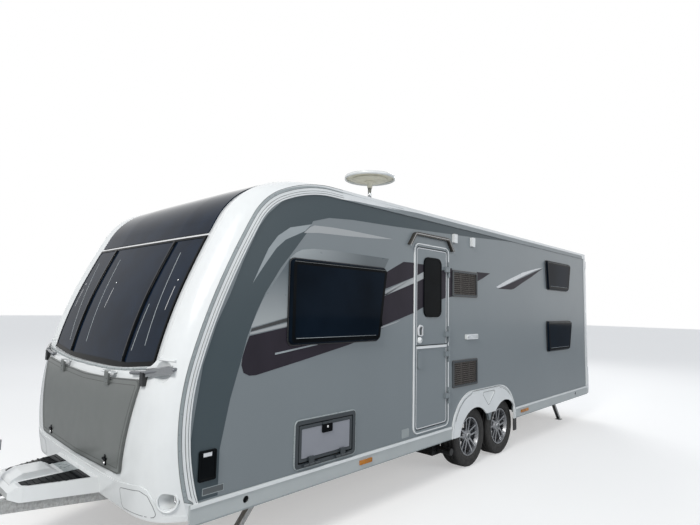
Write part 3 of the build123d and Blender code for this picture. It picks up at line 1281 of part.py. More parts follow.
# Drawbar cover: a thin shell under its profile and its plan, with a hump along the middle
cover_plan = [(x, -y) for x, y in COVER_PLAN] + [(x, y) for x, y in reversed(COVER_PLAN)]
cover_low = COVER_PROFILE[0][1]
cover = prism(cover_plan, "z", 0, EAVES) & prism(COVER_PROFILE, "y", -HALF, HALF)
inner_plan = grown(cover_plan, -COVER_WALL)
inner_profile = [(x, z - COVER_WALL if z > cover_low else 0) for x, z in COVER_PROFILE]
cover = cover - (prism(inner_plan, "z", 0, EAVES) & prism(inner_profile, "y", -HALF, HALF))
hump = prism(HUMP_PROFILE, "y", -HUMP_HALF, HUMP_HALF, HUMP_CORNER)
hump = hump & slab(COVER_PROFILE[0][0], NOSE_TIP, -HUMP_HALF, HUMP_HALF, COVER_PROFILE[3][1], EAVES)
cover = (cover + hump) - front_block(BUMPER_PROUD) - bar_room - mirrored(bar_room)
parts["drawbar_cover"] = [cover]

# Mover: a roller and a motor at each side, joined by a bar
roller_drop = TYRE_RADIUS - ROLLER_HEIGHT
roller_x = WHEEL_XS[0] + math.sqrt((TYRE_RADIUS + ROLLER_RADIUS + MOVER_GAP) ** 2 - roller_drop ** 2)
roller_inner = WHEEL_OUTER_FACE - TYRE_WIDTH + ROLLER_INSET
roller_outer = WHEEL_OUTER_FACE - ROLLER_INSET
motor_back, motor_front, motor_low, motor_high = MOTOR
hanger_back, hanger_front, hanger_low = HANGER
motor_inner = rail_outside + MOTOR_GAP
bar_x = roller_x + MOVER_BAR_RADIUS
half_mover = rod((roller_x, roller_inner, ROLLER_HEIGHT), (roller_x, roller_outer, ROLLER_HEIGHT), ROLLER_RADIUS)
half_mover = half_mover + slab(
    roller_x - motor_back,
    roller_x + motor_front,
    motor_inner,
    roller_inner,
    ROLLER_HEIGHT - motor_low,
    ROLLER_HEIGHT + motor_high,
)
half_mover = half_mover + slab(
    roller_x - hanger_back, roller_x + hanger_front, rail_inside, rail_outside, ROLLER_HEIGHT - hanger_low, rail_low
)
half_mover = half_mover + rod((bar_x, 0, ROLLER_HEIGHT), (bar_x, motor_inner + 1, ROLLER_HEIGHT), MOVER_BAR_RADIUS)
parts["mover"] = [half_mover + mirrored(half_mover)]

# Aerial: a foot and a mast under a flat dome
aerial_roof = roof_height(AERIAL_Y)
dome_bottom = AERIAL_TOP - AERIAL_THICK


def aerial_rod(z0, z1, radius):
    return rod((AERIAL_X, AERIAL_Y, z0), (AERIAL_X, AERIAL_Y, z1), radius)


foot = aerial_rod(aerial_roof - AERIAL_FOOT_HEIGHT, aerial_roof + AERIAL_FOOT_HEIGHT, AERIAL_FOOT) - roof_solid
mast = aerial_rod(aerial_roof, dome_bottom + 1, AERIAL_MAST)
bottom_share, top_share = AERIAL_SHARES
bottom_ring = Pos(AERIAL_X, AERIAL_Y, dome_bottom) * Circle(AERIAL_RADIUS * bottom_share)
middle_ring = Pos(AERIAL_X, AERIAL_Y, dome_bottom + AERIAL_THICK / 2) * Circle(AERIAL_RADIUS)
top_ring = Pos(AERIAL_X, AERIAL_Y, AERIAL_TOP) * Circle(AERIAL_RADIUS * top_share)
dome = loft([bottom_ring, middle_ring], ruled=True) + loft([middle_ring, top_ring], ruled=True)
parts["aerial"] = [foot + (mast - roof_solid) + dome]

whole_shift = Pos(-(NOSE_TIP + REAR_TIP) / 2, 0, 0)
for name, pieces in parts.items():
    moved = [whole_shift * piece for piece in pieces]
    shape = moved[0] if len(moved) == 1 else Compound(moved)
    export_step(shape, "parts/" + name + ".step")
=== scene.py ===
import json
import math

import bmesh
import bpy
from mathutils import Matrix, Vector
from mathutils.bvhtree import BVHTree


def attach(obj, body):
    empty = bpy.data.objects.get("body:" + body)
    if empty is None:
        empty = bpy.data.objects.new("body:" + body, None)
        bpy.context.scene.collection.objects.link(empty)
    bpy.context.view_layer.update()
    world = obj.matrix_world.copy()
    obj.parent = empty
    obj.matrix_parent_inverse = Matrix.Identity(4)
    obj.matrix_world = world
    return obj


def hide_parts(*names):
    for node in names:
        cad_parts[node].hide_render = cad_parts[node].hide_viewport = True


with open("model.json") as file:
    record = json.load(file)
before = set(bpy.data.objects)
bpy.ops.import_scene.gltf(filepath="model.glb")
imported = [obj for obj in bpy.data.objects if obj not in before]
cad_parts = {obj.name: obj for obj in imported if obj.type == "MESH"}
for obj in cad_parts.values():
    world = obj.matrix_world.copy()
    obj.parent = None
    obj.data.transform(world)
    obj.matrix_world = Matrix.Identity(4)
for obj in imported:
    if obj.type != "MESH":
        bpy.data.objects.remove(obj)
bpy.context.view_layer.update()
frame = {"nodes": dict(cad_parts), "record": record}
nodes = frame["nodes"]

# Camera: fitted to the photograph, in metres in the frame
CAMERA_AT = (4.3003, 3.7627, 1.6248)
CAMERA_YAW = -2.388026
CAMERA_PITCH = 0.0900804
CAMERA_ROLL = 0.0201969
CAMERA_LENS = 25.43
SENSOR_WIDTH = 36
SIGHT = 200


def set_camera():
    cy, sy = math.cos(CAMERA_YAW), math.sin(CAMERA_YAW)
    cp, sp = math.cos(CAMERA_PITCH), math.sin(CAMERA_PITCH)
    cr, sr = math.cos(CAMERA_ROLL), math.sin(CAMERA_ROLL)
    forward = Vector((cy * cp, sy * cp, sp))
    level_right = Vector((sy, -cy, 0))
    level_up = level_right.cross(forward)
    right = cr * level_right + sr * level_up
    up = -sr * level_right + cr * level_up
    data = bpy.data.cameras.new("camera")
    data.lens = CAMERA_LENS
    data.sensor_width = SENSOR_WIDTH
    data.clip_end = SIGHT
    camera = bpy.data.objects.new("camera", data)
    bpy.context.scene.collection.objects.link(camera)
    axes = Matrix((right, up, -forward)).transposed()
    camera.matrix_world = Matrix.Translation(Vector(CAMERA_AT)) @ axes.to_4x4()
    bpy.context.scene.camera = camera


set_camera()
bpy.context.scene.view_settings.view_transform = "Standard"


# Material helpers
def fill(tree, node, values=(), links=()):
    """Sets a node's values and links outputs to its inputs."""
    for socket, value in dict(values).items():
        node.inputs[socket].default_value = value
    for socket, source in dict(links).items():
        tree.links.new(source, node.inputs[socket])
    return node


def add(tree, kind, values=(), links=()):
    return fill(tree, tree.nodes.new(kind), values, links)


def shader(name):
    mat = bpy.data.materials.new(name)
    mat.use_nodes = True
    return mat, mat.node_tree, mat.node_tree.nodes["Principled BSDF"]


def object_place(tree):
    return add(tree, "ShaderNodeTexCoord").outputs["Object"]


def noise(tree, scale, detail=4.0, stretch=(1, 1, 1)):
    place = add(tree, "ShaderNodeMapping", {"Scale": stretch}, {"Vector": object_place(tree)})
    values = {"Scale": scale, "Detail": detail}
    return add(tree, "ShaderNodeTexNoise", values, {"Vector": place.outputs["Vector"]}).outputs["Fac"]


def spread(tree, value, low, high, start=0.35, end=0.65):
    """Maps a noise to a range."""
    limits = {"From Min": start, "From Max": end, "To Min": low, "To Max": high}
    return add(tree, "ShaderNodeMapRange", limits, {"Value": value}).outputs["Result"]


def mix(tree, factor, a, b):
    node = add(tree, "ShaderNodeMix", links={"Factor": factor})
    node.data_type = "RGBA"
    for name, value in (("A", a), ("B", b)):
        socket = [s for s in node.inputs if s.name == name and s.type == "RGBA"][0]
        if isinstance(value, tuple):
            socket.default_value = (*value, 1)
        else:
            tree.links.new(value, socket)
    return [s for s in node.outputs if s.type == "RGBA"][0]


def shade(colour, factor):
    return tuple(min(1.0, c * factor) for c in colour)


def varied(tree, colour, amount, fac):
    """A colour that is a little darker or lighter from place to place."""
    return mix(tree, spread(tree, fac, 0, 1), shade(colour, 1 - amount), shade(colour, 1 + amount))


COAT_ROUGHNESS = 0.08
GRAIN_SCALE = 300.0
GRAIN_HEIGHT = 0.001


def finish(name, colour, rough, metal=0.0, vary=0.06, scale=6.0, grain=0.0, coat=0.0, specular=0.5,
           stretch=(1, 1, 1), dirt=None, ior=1.5):
    """A painted, moulded or metal surface: colour and gloss vary, with grain as bump and some dirt.

    Dirt is a colour and how much of it the dirtiest places have.
    """
    mat, tree, bsdf = shader(name)
    tint = varied(tree, colour, vary, noise(tree, scale, stretch=stretch))
    if dirt:
        film = noise(tree, scale * 2.7, 8.0, (1, 1, 0.35))
        tint = mix(tree, spread(tree, film, 0, dirt[1], 0.45, 0.75), tint, dirt[0])
    gloss = spread(tree, noise(tree, scale * 5, 6.0), *rough)
    values = {"Metallic": metal, "Coat Weight": coat, "Coat Roughness": COAT_ROUGHNESS,
              "Specular IOR Level": specular, "IOR": ior}
    fill(tree, bsdf, values, {"Base Color": tint, "Roughness": gloss})
    if grain:
        height = noise(tree, GRAIN_SCALE, 3.0)
        bump = add(tree, "ShaderNodeBump", {"Strength": grain, "Distance": GRAIN_HEIGHT}, {"Height": height})
        fill(tree, bsdf, links={"Normal": bump.outputs["Normal"]})
    return mat


def shade_gradient(name, axis, start, end, first, second, rough):
    """Painted light and shade: a colour that runs from one to another along an axis of the piece."""
    mat, tree, bsdf = shader(name)
    parts = add(tree, "ShaderNodeSeparateXYZ", links={"Vector": object_place(tree)})
    share = spread(tree, parts.outputs[axis], 0, 1, start, end)
    gloss = spread(tree, noise(tree, 8.0), rough - 0.03, rough + 0.03)
    fill(tree, bsdf, links={"Base Color": mix(tree, share, first, second), "Roughness": gloss})
    return mat


def glass(name, colour, rough, through, ior=1.49):
    mat, tree, bsdf = shader(name)
    tint = varied(tree, colour, 0.2, noise(tree, 5.0, 6.0))
    gloss = spread(tree, noise(tree, 30.0), *rough)
    fill(tree, bsdf, {"IOR": ior, "Transmission Weight": through}, {"Base Color": tint, "Roughness": gloss})
    return mat


LOOKS = {}


def add_look(name, slot, *values, make=finish, **more):
    """Makes a look. The slot, the material slot that its pieces count to, is not used."""
    LOOKS[name] = make(name, *values, **more)


def slot_look(name, *values, **more):
    add_look(name, name, *values, **more)


# The slots' own looks: colour, least and greatest roughness, and what else differs
GRIME = (0.16, 0.145, 0.12)
DUST = (0.5, 0.5, 0.47)
ROOF_DIRT = (0.42, 0.41, 0.37)
ROAD_DIRT = (0.06, 0.055, 0.05)
MOSS = (0.3, 0.27, 0.2)
WALL_COLOUR = (0.185, 0.212, 0.225)
slot_look("body_white", (0.73, 0.75, 0.75), (0.16, 0.24), coat=0.3, vary=0.015, dirt=(DUST, 0.06))
slot_look("wall_grey", WALL_COLOUR, (0.29, 0.31), coat=0.1, vary=0.02, scale=1.2, stretch=(1, 1, 0.4))
slot_look("roof_white", (0.66, 0.67, 0.66), (0.35, 0.55), vary=0.04, grain=0.15,
          dirt=(ROOF_DIRT, 0.25))
slot_look("lid_grey", (0.132, 0.142, 0.136), (0.34, 0.38), coat=0.1, vary=0.02, scale=2.0)
slot_look("dark_glass", (0.006, 0.013, 0.027), (0.03, 0.05), 0.02, 1.13, make=glass)
slot_look("black_trim", (0.012, 0.013, 0.014), (0.25, 0.42), vary=0.2, grain=0.2)
slot_look("grey_trim", (0.30, 0.33, 0.335), (0.3, 0.42), vary=0.04, grain=0.1, dirt=(GRIME, 0.1))
slot_look("rail_grey", (0.42, 0.45, 0.45), (0.36, 0.40), vary=0.02)
slot_look("tyre_black", (0.016, 0.016, 0.016), (0.7, 0.9), vary=0.2, scale=20, grain=0.3,
          dirt=(ROAD_DIRT, 0.5))
slot_look("alloy", (0.42, 0.43, 0.45), (0.22, 0.4), metal=0.85, vary=0.05, grain=0.05,
          dirt=(GRIME, 0.12))
slot_look("galvanised", (0.42, 0.43, 0.43), (0.42, 0.6), metal=0.75, vary=0.16, scale=60,
          dirt=(GRIME, 0.35))
slot_look("chrome", (0.72, 0.73, 0.74), (0.06, 0.14), metal=1.0, vary=0.02)
slot_look("clear_lens", (0.8, 0.82, 0.84), (0.05, 0.12), 0.5, make=glass)
slot_look("red_lens", (0.42, 0.012, 0.01), (0.08, 0.16), 0.2, make=glass)
slot_look("orange_lens", (0.55, 0.20, 0.015), (0.08, 0.16), 0.2, make=glass)
slot_look("ply", (0.30, 0.20, 0.11), (0.5, 0.7), vary=0.2, scale=5, stretch=(0.2, 3, 1))
slot_look("cream", (0.76, 0.73, 0.61), (0.5, 0.56), vary=0.05, scale=3.0, dirt=(MOSS, 0.35))
slot_look("rubber", (0.02, 0.02, 0.021), (0.5, 0.7), vary=0.15, grain=0.2)

# Paints that some pieces and nodes have instead of their slot's own look
# shade_side and shade_top are painted light and shade: the wall's grey made lighter and darker along an axis
add_look("shade_side", "wall_grey", "Z", 1.50, 1.86, (0.36, 0.385, 0.39), (0.10, 0.125, 0.14), 0.3,
         make=shade_gradient)
add_look("shade_top", "wall_grey", "X", 1.30, 2.02, (0.10, 0.12, 0.13), (0.33, 0.36, 0.37), 0.3, make=shade_gradient)
# grey_band is a grey of its own on some trims, and is also used for painted shade and a painted highlight
add_look("grey_band", "rail_grey", (0.30, 0.335, 0.34), (0.25, 0.35), vary=0.03, metal=0.1)
add_look("groove", "black_trim", (0.03, 0.032, 0.033), (0.5, 0.7), vary=0.1)
# Dark paint of the arch, also used as the painted reflection along the top of the side wall
add_look("dark_paint", "wall_grey", (0.052, 0.072, 0.082), (0.29, 0.31), specular=0.3, vary=0.02, scale=1.2)
add_look("pale_decal", "wall_grey", (0.30, 0.335, 0.35), (0.3, 0.4), vary=0.05, scale=2.0)
add_look("silver_decal", "rail_grey", (0.37, 0.385, 0.39), (0.34, 0.36), vary=0.02, scale=2.0)
add_look("plum_decal", "black_trim", (0.022, 0.018, 0.026), (0.38, 0.42), specular=0.15, vary=0.12,
         scale=5.0, stretch=(1, 1, 0.3))
add_look("white_line", "body_white", (0.66, 0.67, 0.68), (0.25, 0.35), vary=0.02)
add_look("bright", "chrome", (0.8, 0.81, 0.82), (0.08, 0.16), metal=0.9, vary=0.02)
add_look("pane_blue", "dark_glass", (0.004, 0.008, 0.014), (0.05, 0.08), vary=0.3, scale=2.0, ior=1.1)
add_look("gloss_black", "black_trim", (0.004, 0.005, 0.006), (0.07, 0.10), vary=0.2, ior=1.12)
add_look("vent_dark", "black_trim", (0.018, 0.014, 0.012), (0.5, 0.7), vary=0.3, scale=30)
add_look("vent_slat", "grey_trim", (0.17, 0.155, 0.14), (0.4, 0.5), vary=0.1, scale=30)
add_look("hatch_panel", "grey_trim", (0.26, 0.27, 0.30), (0.3, 0.4), vary=0.03, metal=0.1)
add_look("plate_dark", "grey_trim", (0.075, 0.085, 0.09), (0.4, 0.5), vary=0.05)
add_look("hatch_dark", "grey_trim", (0.034, 0.042, 0.048), (0.3, 0.4), vary=0.04)
add_look("cowl_dark", "grey_trim", (0.06, 0.055, 0.048), (0.2, 0.3), metal=0.5, vary=0.08)
add_look("lamp_bowl", "clear_lens", (0.5, 0.51, 0.52), (0.08, 0.14), metal=0.9, vary=0.05)
add_look("leaf_grey", "wall_grey", WALL_COLOUR, (0.29, 0.31), coat=0.1, vary=0.02, scale=1.2)
add_look("lid_line", "black_trim", (0.06, 0.064, 0.062), (0.4, 0.5), vary=0.05)
add_look("rail_line", "grey_trim", (0.16, 0.17, 0.17), (0.4, 0.5), vary=0.05)
add_look("silver", "chrome", (0.42, 0.43, 0.44), (0.16, 0.22), metal=0.9, vary=0.04)
add_look("steel", "chrome", (0.20, 0.21, 0.225), (0.14, 0.2), metal=0.9, vary=0.06)
NODE_PAINT = {
    "grab_handles": "steel", "side_fittings": "cowl_dark", "fridge_vents": "vent_slat",
    "hatch_frame": "hatch_dark", "locker_hatch": "hatch_dark", "front_lamps": "lamp_bowl",
    "door_handle": "leaf_grey", "door_frame": "leaf_grey", "side_windows": "pane_blue",
    "door_window": "gloss_black", "window_frame": "gloss_black", "rooflights": "gloss_black",
}
for row in frame["record"]["subparts"]:
    for material_slot in nodes[row["node"]].material_slots:
        material_slot.material = LOOKS[NODE_PAINT.get(row["node"], row["material_slot"])]

REAR_WALL = -3.955
HALF = 1.130
CAMBER = 0.045
SUNK = -0.001
SIDES = ((-1, "right"), (1, "left"))
UP = (0, 0, 1)


def at(local):
    """Millimetres forward of the rear wall, as the part's sizes are given, in metres in the frame."""
    return local / 1000 + REAR_WALL


def camber(y):
    """How far the roof's curve rises at a place across."""
    return CAMBER * (1 - (y / HALF) ** 2)


# Mesh helpers
def piece(name, verts, faces, look, body="shell", smooth=False):
    mesh = bpy.data.meshes.new(name)
    mesh.from_pydata([tuple(v) for v in verts], [], faces)
    bm = bmesh.new()
    bm.from_mesh(mesh)
    bmesh.ops.remove_doubles(bm, verts=bm.verts, dist=1e-6)
    bmesh.ops.recalc_face_normals(bm, faces=bm.faces)
    bm.to_mesh(mesh)
    bm.free()
    obj = bpy.data.objects.new(name, mesh)
    bpy.context.scene.collection.objects.link(obj)
    mesh.materials.append(LOOKS[look])
    for polygon in mesh.polygons:
        polygon.use_smooth = smooth
    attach(obj, body)
    return obj


def spot(axis, a, b, c):
    """A point from its two places in an outline and its place along the axis."""
    return {"x": (c, a, b), "y": (a, c, b), "z": (a, b, c)}[axis]


def rounded(points, radius, steps=5):
    """An outline with its corners as arcs. The radius may be a list."""
    count = len(points)
    radii = radius if isinstance(radius, (list, tuple)) else [radius] * count
    out = []
    for i, (x, y) in enumerate(points):
        here = Vector((x, y))
        before = Vector(points[i - 1]) - here
        after = Vector(points[(i + 1) % count]) - here
        angle = before.angle(after)
        r = min(radii[i], 0.45 * min(before.length, after.length) * math.tan(angle / 2))
        if r < 1e-4:
            out.append((x, y))
            continue
        cut = r / math.tan(angle / 2)
        bisector = (before.normalized() + after.normalized()).normalized()
        middle = here + bisector * (r / math.sin(angle / 2))
        start = here + before.normalized() * cut - middle
        end = here + after.normalized() * cut - middle
        turn = math.atan2(start.x * end.y - start.y * end.x, start.dot(end))
        for k in range(steps + 1):
            c, s = math.cos(turn * k / steps), math.sin(turn * k / steps)
            out.append((middle.x + start.x * c - start.y * s, middle.y + start.x * s + start.y * c))
    return out


def inset(points, amount):
    """A counterclockwise outline moved inward."""
    out = []
    for i, point in enumerate(points):
        here = Vector(point)
        first = (here - Vector(points[i - 1])).normalized()
        second = (Vector(points[(i + 1) % len(points)]) - here).normalized()
        normals = (Vector((-first.y, first.x)), Vector((-second.y, second.x)))
        middle = (normals[0] + normals[1]).normalized()
        out.append(tuple(here + middle * (amount / max(0.2, middle.dot(normals[0])))))
    return out


def box_outline(a0, a1, b0, b1, grow=0.0):
    return [(a0 - grow, b0 - grow), (a1 + grow, b0 - grow), (a1 + grow, b1 + grow), (a0 - grow, b1 + grow)]


def soft_box(a0, a1, b0, b1, radius, steps=5, grow=0.0):
    return rounded(box_outline(a0, a1, b0, b1, grow), radius, steps)


def divided(points, step, closed=False):
    """A line of points with others between them, so that a strip follows a curved surface."""
    out = []
    for start, end in zip(points, points[1:] + points[:1] if closed else points[1:]):
        a, b = Vector(start), Vector(end)
        count = max(1, math.ceil((b - a).length / step))
        out += [tuple(a.lerp(b, k / count)) for k in range(count)]
    return out if closed else out + [points[-1]]


def band(first, second, size):
    """Faces between two closed loops of as many points, given by their first ones."""
    return [[first + i, first + (i + 1) % size, second + (i + 1) % size, second + i] for i in range(size)]


def box_faces(start):
    """The faces of a box whose corners run X by Y by Z from a first one."""
    faces = ((0, 1, 3, 2), (4, 6, 7, 5), (0, 4, 5, 1), (2, 3, 7, 6), (0, 2, 6, 4), (1, 5, 7, 3))
    return [[start + k for k in face] for face in faces]


def lofted(name, loops, look, body="shell", closed=False, smooth=False):
    """A piece through loops of as many points, with end caps or, if closed, on to the first loop again."""
    size, count = len(loops[0]), len(loops)
    faces = []
    for i in range(count if closed else count - 1):
        faces += band(i * size, (i + 1) % count * size, size)
    if not closed:
        faces += [list(range(size)), list(range((count - 1) * size, count * size))]
    return piece(name, [point for loop in loops for point in loop], faces, look, body, smooth)


def plate(name, outline, low, high, axis, look, body="shell"):
    """A flat piece with an outline, between two places along an axis."""
    loops = [[spot(axis, a, b, level) for a, b in outline] for level in (low, high)]
    return lofted(name, loops, look, body)


def ring(name, outer, inner, low, high, axis, look, body="shell", bevel=0.0):
    """A flat frame between two outlines with as many points. Its outer top edge may be bevelled."""
    edges = [(outer, low), (outer, high - bevel)]
    if bevel:
        edges.append((inset(outer, bevel), high))
    edges += [(inner, high), (inner, low)]
    loops = [[spot(axis, a, b, level) for a, b in outline] for outline, level in edges]
    return lofted(name, loops, look, body, True)


def wall_plate(name, outline, low, high, look, body="shell", side=1):
    """A plate on a side wall, between two heights over the wall."""
    plate(name, outline, side * (HALF + low), side * (HALF + high), "y", look, body)


def wall_ring(name, outline, outer, inner, steps, low, high, look, body="shell", side=1, bevel=0.003):
    """A frame on a side wall. Each edge is given as how far it lies inside the outline, and its radius."""
    edges = [rounded(inset(outline, amount), radius, steps) for amount, radius in (outer, inner)]
    ring(name, *edges, side * (HALF + low), side * (HALF + high), "y", look, body, bevel)


def on_wall(points, height, side=1):
    """Points over a side wall with the wall's direction, as rays give them."""
    return [(Vector((a, side * (HALF + height), b)), Vector((0, side, 0))) for a, b in points]


def ribbon(name, hits, look, width, height=0.0006, body="shell", closed=False, sink=0.0015, domed=False,
           smooth=False):
    """A strip along points that lie on a surface, standing up from it by a height."""
    half = width / 2
    top = [(-half, height), (half, height)]
    if domed:
        top = [(-half, 0.4 * height), (-0.5 * half, height), (0.5 * half, height), (half, 0.4 * height)]
    shape = [(-half, -sink), *top, (half, -sink)]
    count = len(hits)
    loops = []
    for i, (place, normal) in enumerate(hits):
        before = hits[i - 1][0] if closed or i else place
        after = hits[(i + 1) % count][0] if closed or i < count - 1 else place
        side = (after - before).normalized().cross(normal).normalized()
        loops.append([place + side * s + normal * u for s, u in shape])
    return lofted(name, loops, look, body, closed, smooth)


def turned(name, profile, centre, axis, look, body="shell", sides=48, closed=True):
    """A profile of (distance along the axis, radius) turned round an axis."""
    turn = Vector(axis).normalized().to_track_quat("Z", "Y").to_matrix()
    ways = [(math.cos(2 * math.pi * i / sides), math.sin(2 * math.pi * i / sides)) for i in range(sides)]
    loops = [[Vector(centre) + turn @ Vector((r * c, r * s, out)) for c, s in ways] for out, r in profile]
    return lofted(name, loops, look, body, closed, True)


def bar(name, start, end, radius, look, body="shell", sides=12):
    """A round bar."""
    way = Vector(end) - Vector(start)
    return turned(name, [(0.0, radius), (way.length, radius)], start, way, look, body, sides, False)


# Rays that lay lines on the solids. They start outside, at these distances.
FRONT_START, SIDE_START, TOP_START = 5.0, 2.0, 2.0
FINER_STEPS = (0.02, 0.002, 0.0004)
trees = {}


def surface(name):
    if name not in trees:
        obj = nodes[name]
        corners = [obj.matrix_world @ v.co for v in obj.data.vertices]
        trees[name] = BVHTree.FromPolygons(corners, [tuple(p.vertices) for p in obj.data.polygons])
    return trees[name]


def hit(names, view, a, b):
    """What shows of the named nodes at a place in a view: the point and the surface's normal, or None."""
    origin, way = {
        "front": ((FRONT_START, a, b), (-1, 0, 0)), "above": ((a, b, TOP_START), (0, 0, -1)),
        "left": ((a, SIDE_START, b), (0, -1, 0)), "right": ((a, -SIDE_START, b), (0, 1, 0)),
    }[view]
    best, nearest = None, math.inf
    for name in names:
        place, normal, _, distance = surface(name).ray_cast(Vector(origin), Vector(way))
        if place is not None and distance < nearest:
            best = (place, normal if normal.dot(Vector(way)) < 0 else -normal)
            nearest = distance
    return best


def laid(points, names, view):
    """The points of an outline laid on the named nodes in a view."""
    return [found for found in [hit(names, view, a, b) for a, b in points] if found]


# Stripes on the side wall. Outlines: X in the frame and Z, both in metres. Each lies a little over the last.
SHEET = 0.0005
LAYER = 0.0001
STRIPES = {
    # dark paint at the front; the dark band along the top of the wall, back to the rear, is painted
    # reflection
    "dark_arch_and_reflection": ("dark_paint", [
        (2.775, 0.50), (2.60, 0.50), (2.60, 0.76), (2.54, 1.05), (2.47, 1.283), (2.431, 1.425),
        (2.367, 1.579), (2.299, 1.71), (2.18, 1.88), (2.06, 2.02), (1.96, 2.14), (1.895, 2.242),
        (1.733, 2.290), (1.47, 2.312), (0.96, 2.330), (-0.2, 2.385), (-1.4, 2.452), (1.80, 2.452),
        (2.0, 2.425), (2.18, 2.345), (2.30, 2.235), (2.37, 2.14), (2.48, 1.91), (2.57, 1.69),
        (2.655, 1.51), (2.735, 1.27), (2.775, 0.99), (2.79, 0.85),
    ]),
    "crescent": ("pale_decal", [
        (2.405, 1.765), (2.356, 1.868), (2.287, 2.006), (2.213, 2.097), (2.108, 2.168), (1.909, 2.217),
        (1.97, 2.16), (2.051, 2.122), (2.146, 2.078), (2.223, 2.012), (2.308, 1.902), (2.377, 1.807),
    ]),
    "upper_blade": ("silver_decal", [
        (1.98, 2.146), (1.93, 2.19), (1.879, 2.213), (1.70, 2.222), (1.503, 2.224), (0.96, 2.217),
        (1.20, 2.196), (1.501, 2.178), (1.838, 2.163),
    ]),
    # painted light and shade beside and above the lounge window
    "arch_side": ("shade_side", [
        (2.405, 1.482), (2.399, 1.501), (2.322, 1.659), (2.251, 1.753), (2.151, 1.883), (2.1, 1.955),
        (2.08, 1.93), (2.08, 1.555),
    ]),
    "arch_top": ("shade_top", [
        (2.1, 1.955), (2.046, 1.998), (1.99, 2.025), (1.887, 2.041), (1.684, 2.049), (1.335, 2.046),
        (1.01, 2.043), (1.085, 1.93), (2.08, 1.93),
    ]),
    "line_dark": ("groove", [(2.40, 1.476), (2.09, 1.548), (2.09, 1.522), (2.407, 1.456)]),
    "line_silver": ("silver_decal", [(2.41, 1.452), (2.09, 1.514), (2.09, 1.490), (2.412, 1.438)]),
    "plum_front": ("plum_decal", [
        (2.415, 1.430), (2.09, 1.484), (2.09, 1.385), (1.12, 1.385), (1.33, 1.375), (1.495, 1.335),
        (1.961, 1.248), (2.352, 1.179), (2.406, 1.18), (2.45, 1.201), (2.468, 1.25), (2.462, 1.30),
        (2.44, 1.37),
    ]),
    "plum_line": ("pale_decal", [(2.206, 1.312), (2.206, 1.299), (1.816, 1.350), (1.847, 1.356)]),
    "plum_mid": ("plum_decal", [
        (1.085, 1.45), (1.13, 1.70), (1.106, 1.711), (0.646, 1.851), (0.646, 1.585), (0.86, 1.53),
        (1.118, 1.467),
    ]),
    "mid_silver": ("silver_decal", [
        (1.12, 1.712), (0.646, 1.853), (0.646, 1.905), (1.062, 1.765), (1.05, 1.73),
    ]),
    "plum_top": ("plum_decal", [
        (1.058, 1.783), (0.646, 1.907), (0.646, 2.037), (0.804, 2.033), (1.049, 1.923),
    ]),
    "mid_line": ("silver_decal", [(1.122, 1.464), (0.839, 1.520), (0.90, 1.500), (1.124, 1.452)]),
    "plum_post": ("plum_decal", [(0.074, 1.735), (0.001, 1.752), (0.001, 2.033), (0.074, 2.025)]),
    "tail": ("plum_decal", [(-0.499, 2.028), (-0.797, 2.033), (-0.63, 1.968), (-0.499, 1.925)]),
    "rear_white": ("white_line", [
        (-0.947, 1.888), (-1.188, 1.968), (-1.645, 2.095), (-2.034, 2.168), (-2.285, 2.204), (-2.0, 2.140),
        (-1.719, 2.068), (-1.427, 1.988), (-1.15, 1.912), (-0.994, 1.874),
    ]),
    "rear_plum": ("plum_decal", [
        (-0.985, 1.871), (-1.15, 1.905), (-1.444, 1.981), (-1.757, 2.062), (-2.02, 2.130), (-2.285, 2.196),
        (-1.90, 2.055), (-1.642, 1.970), (-1.40, 1.885), (-1.321, 1.872),
    ]),
}
DOOR_SIDE_ONLY = ("plum_post", "tail")

# On the right side the stripes run on where the left one has the door
BRIDGE_LEVEL = 0.0024
BRIDGES = {
    "bridge_low": ("plum_decal", [
        (0.646, 1.585), (0.646, 1.851), (-0.50, 2.022), (-0.797, 2.033), (-0.63, 1.968), (-0.30, 1.850),
        (0.0, 1.75),
    ]),
    "bridge_line": ("silver_decal", [
        (0.646, 1.853), (0.646, 1.905), (0.10, 2.000), (-0.18, 2.026), (-0.40, 2.030), (-0.02, 1.962),
    ]),
    "bridge_high": ("plum_decal", [
        (0.646, 1.907), (0.646, 2.037), (0.0, 2.037), (-0.16, 2.031), (0.10, 2.004),
    ]),
}
for layer, (name, (look, outline)) in enumerate(STRIPES.items()):
    wall_plate("stripe_" + name, outline, -SHEET, SHEET + LAYER * layer, look)
    if name not in DOOR_SIDE_ONLY:
        wall_plate("stripe_right_" + name, outline, -SHEET, SHEET + LAYER * layer, look, side=-1)
for layer, (name, (look, outline)) in enumerate(BRIDGES.items()):
    wall_plate("stripe_right_" + name, outline, -SHEET, BRIDGE_LEVEL + LAYER * layer, look, side=-1)

# Stripes that run over the upper door leaf, in front of its window and behind it
LEAF = 0.004
LEAF_REAR, LEAF_FRONT = at(4064), at(4566)
PANE_REAR, PANE_FRONT = at(4170), at(4450)
FRONT_ENDS = (LEAF_FRONT - 0.012, PANE_FRONT)
REAR_ENDS = (LEAF_REAR + 0.012, PANE_REAR)
LEAF_STRIPES = {
    # look, X at the leaf's edge and at the pane, heights at the edge, heights at the pane
    "plum_a": ("plum_decal", FRONT_ENDS, (1.605, 1.866), (1.905, 1.640)),
    "silver_a": ("silver_decal", FRONT_ENDS, (1.866, 1.925), (1.965, 1.905)),
    "plum_b": ("plum_decal", FRONT_ENDS, (1.927, 2.033), (2.033, 1.967)),
    "plum_c": ("plum_decal", REAR_ENDS, (1.735, 2.012), (1.994, 1.712)),
}
for name, (look, (edge, pane), edge_heights, pane_heights) in LEAF_STRIPES.items():
    outline = [(edge, z) for z in edge_heights] + [(pane, z) for z in pane_heights]
    wall_plate("leaf_" + name, outline, LEAF - SHEET, LEAF + SHEET, look, "door_upper")
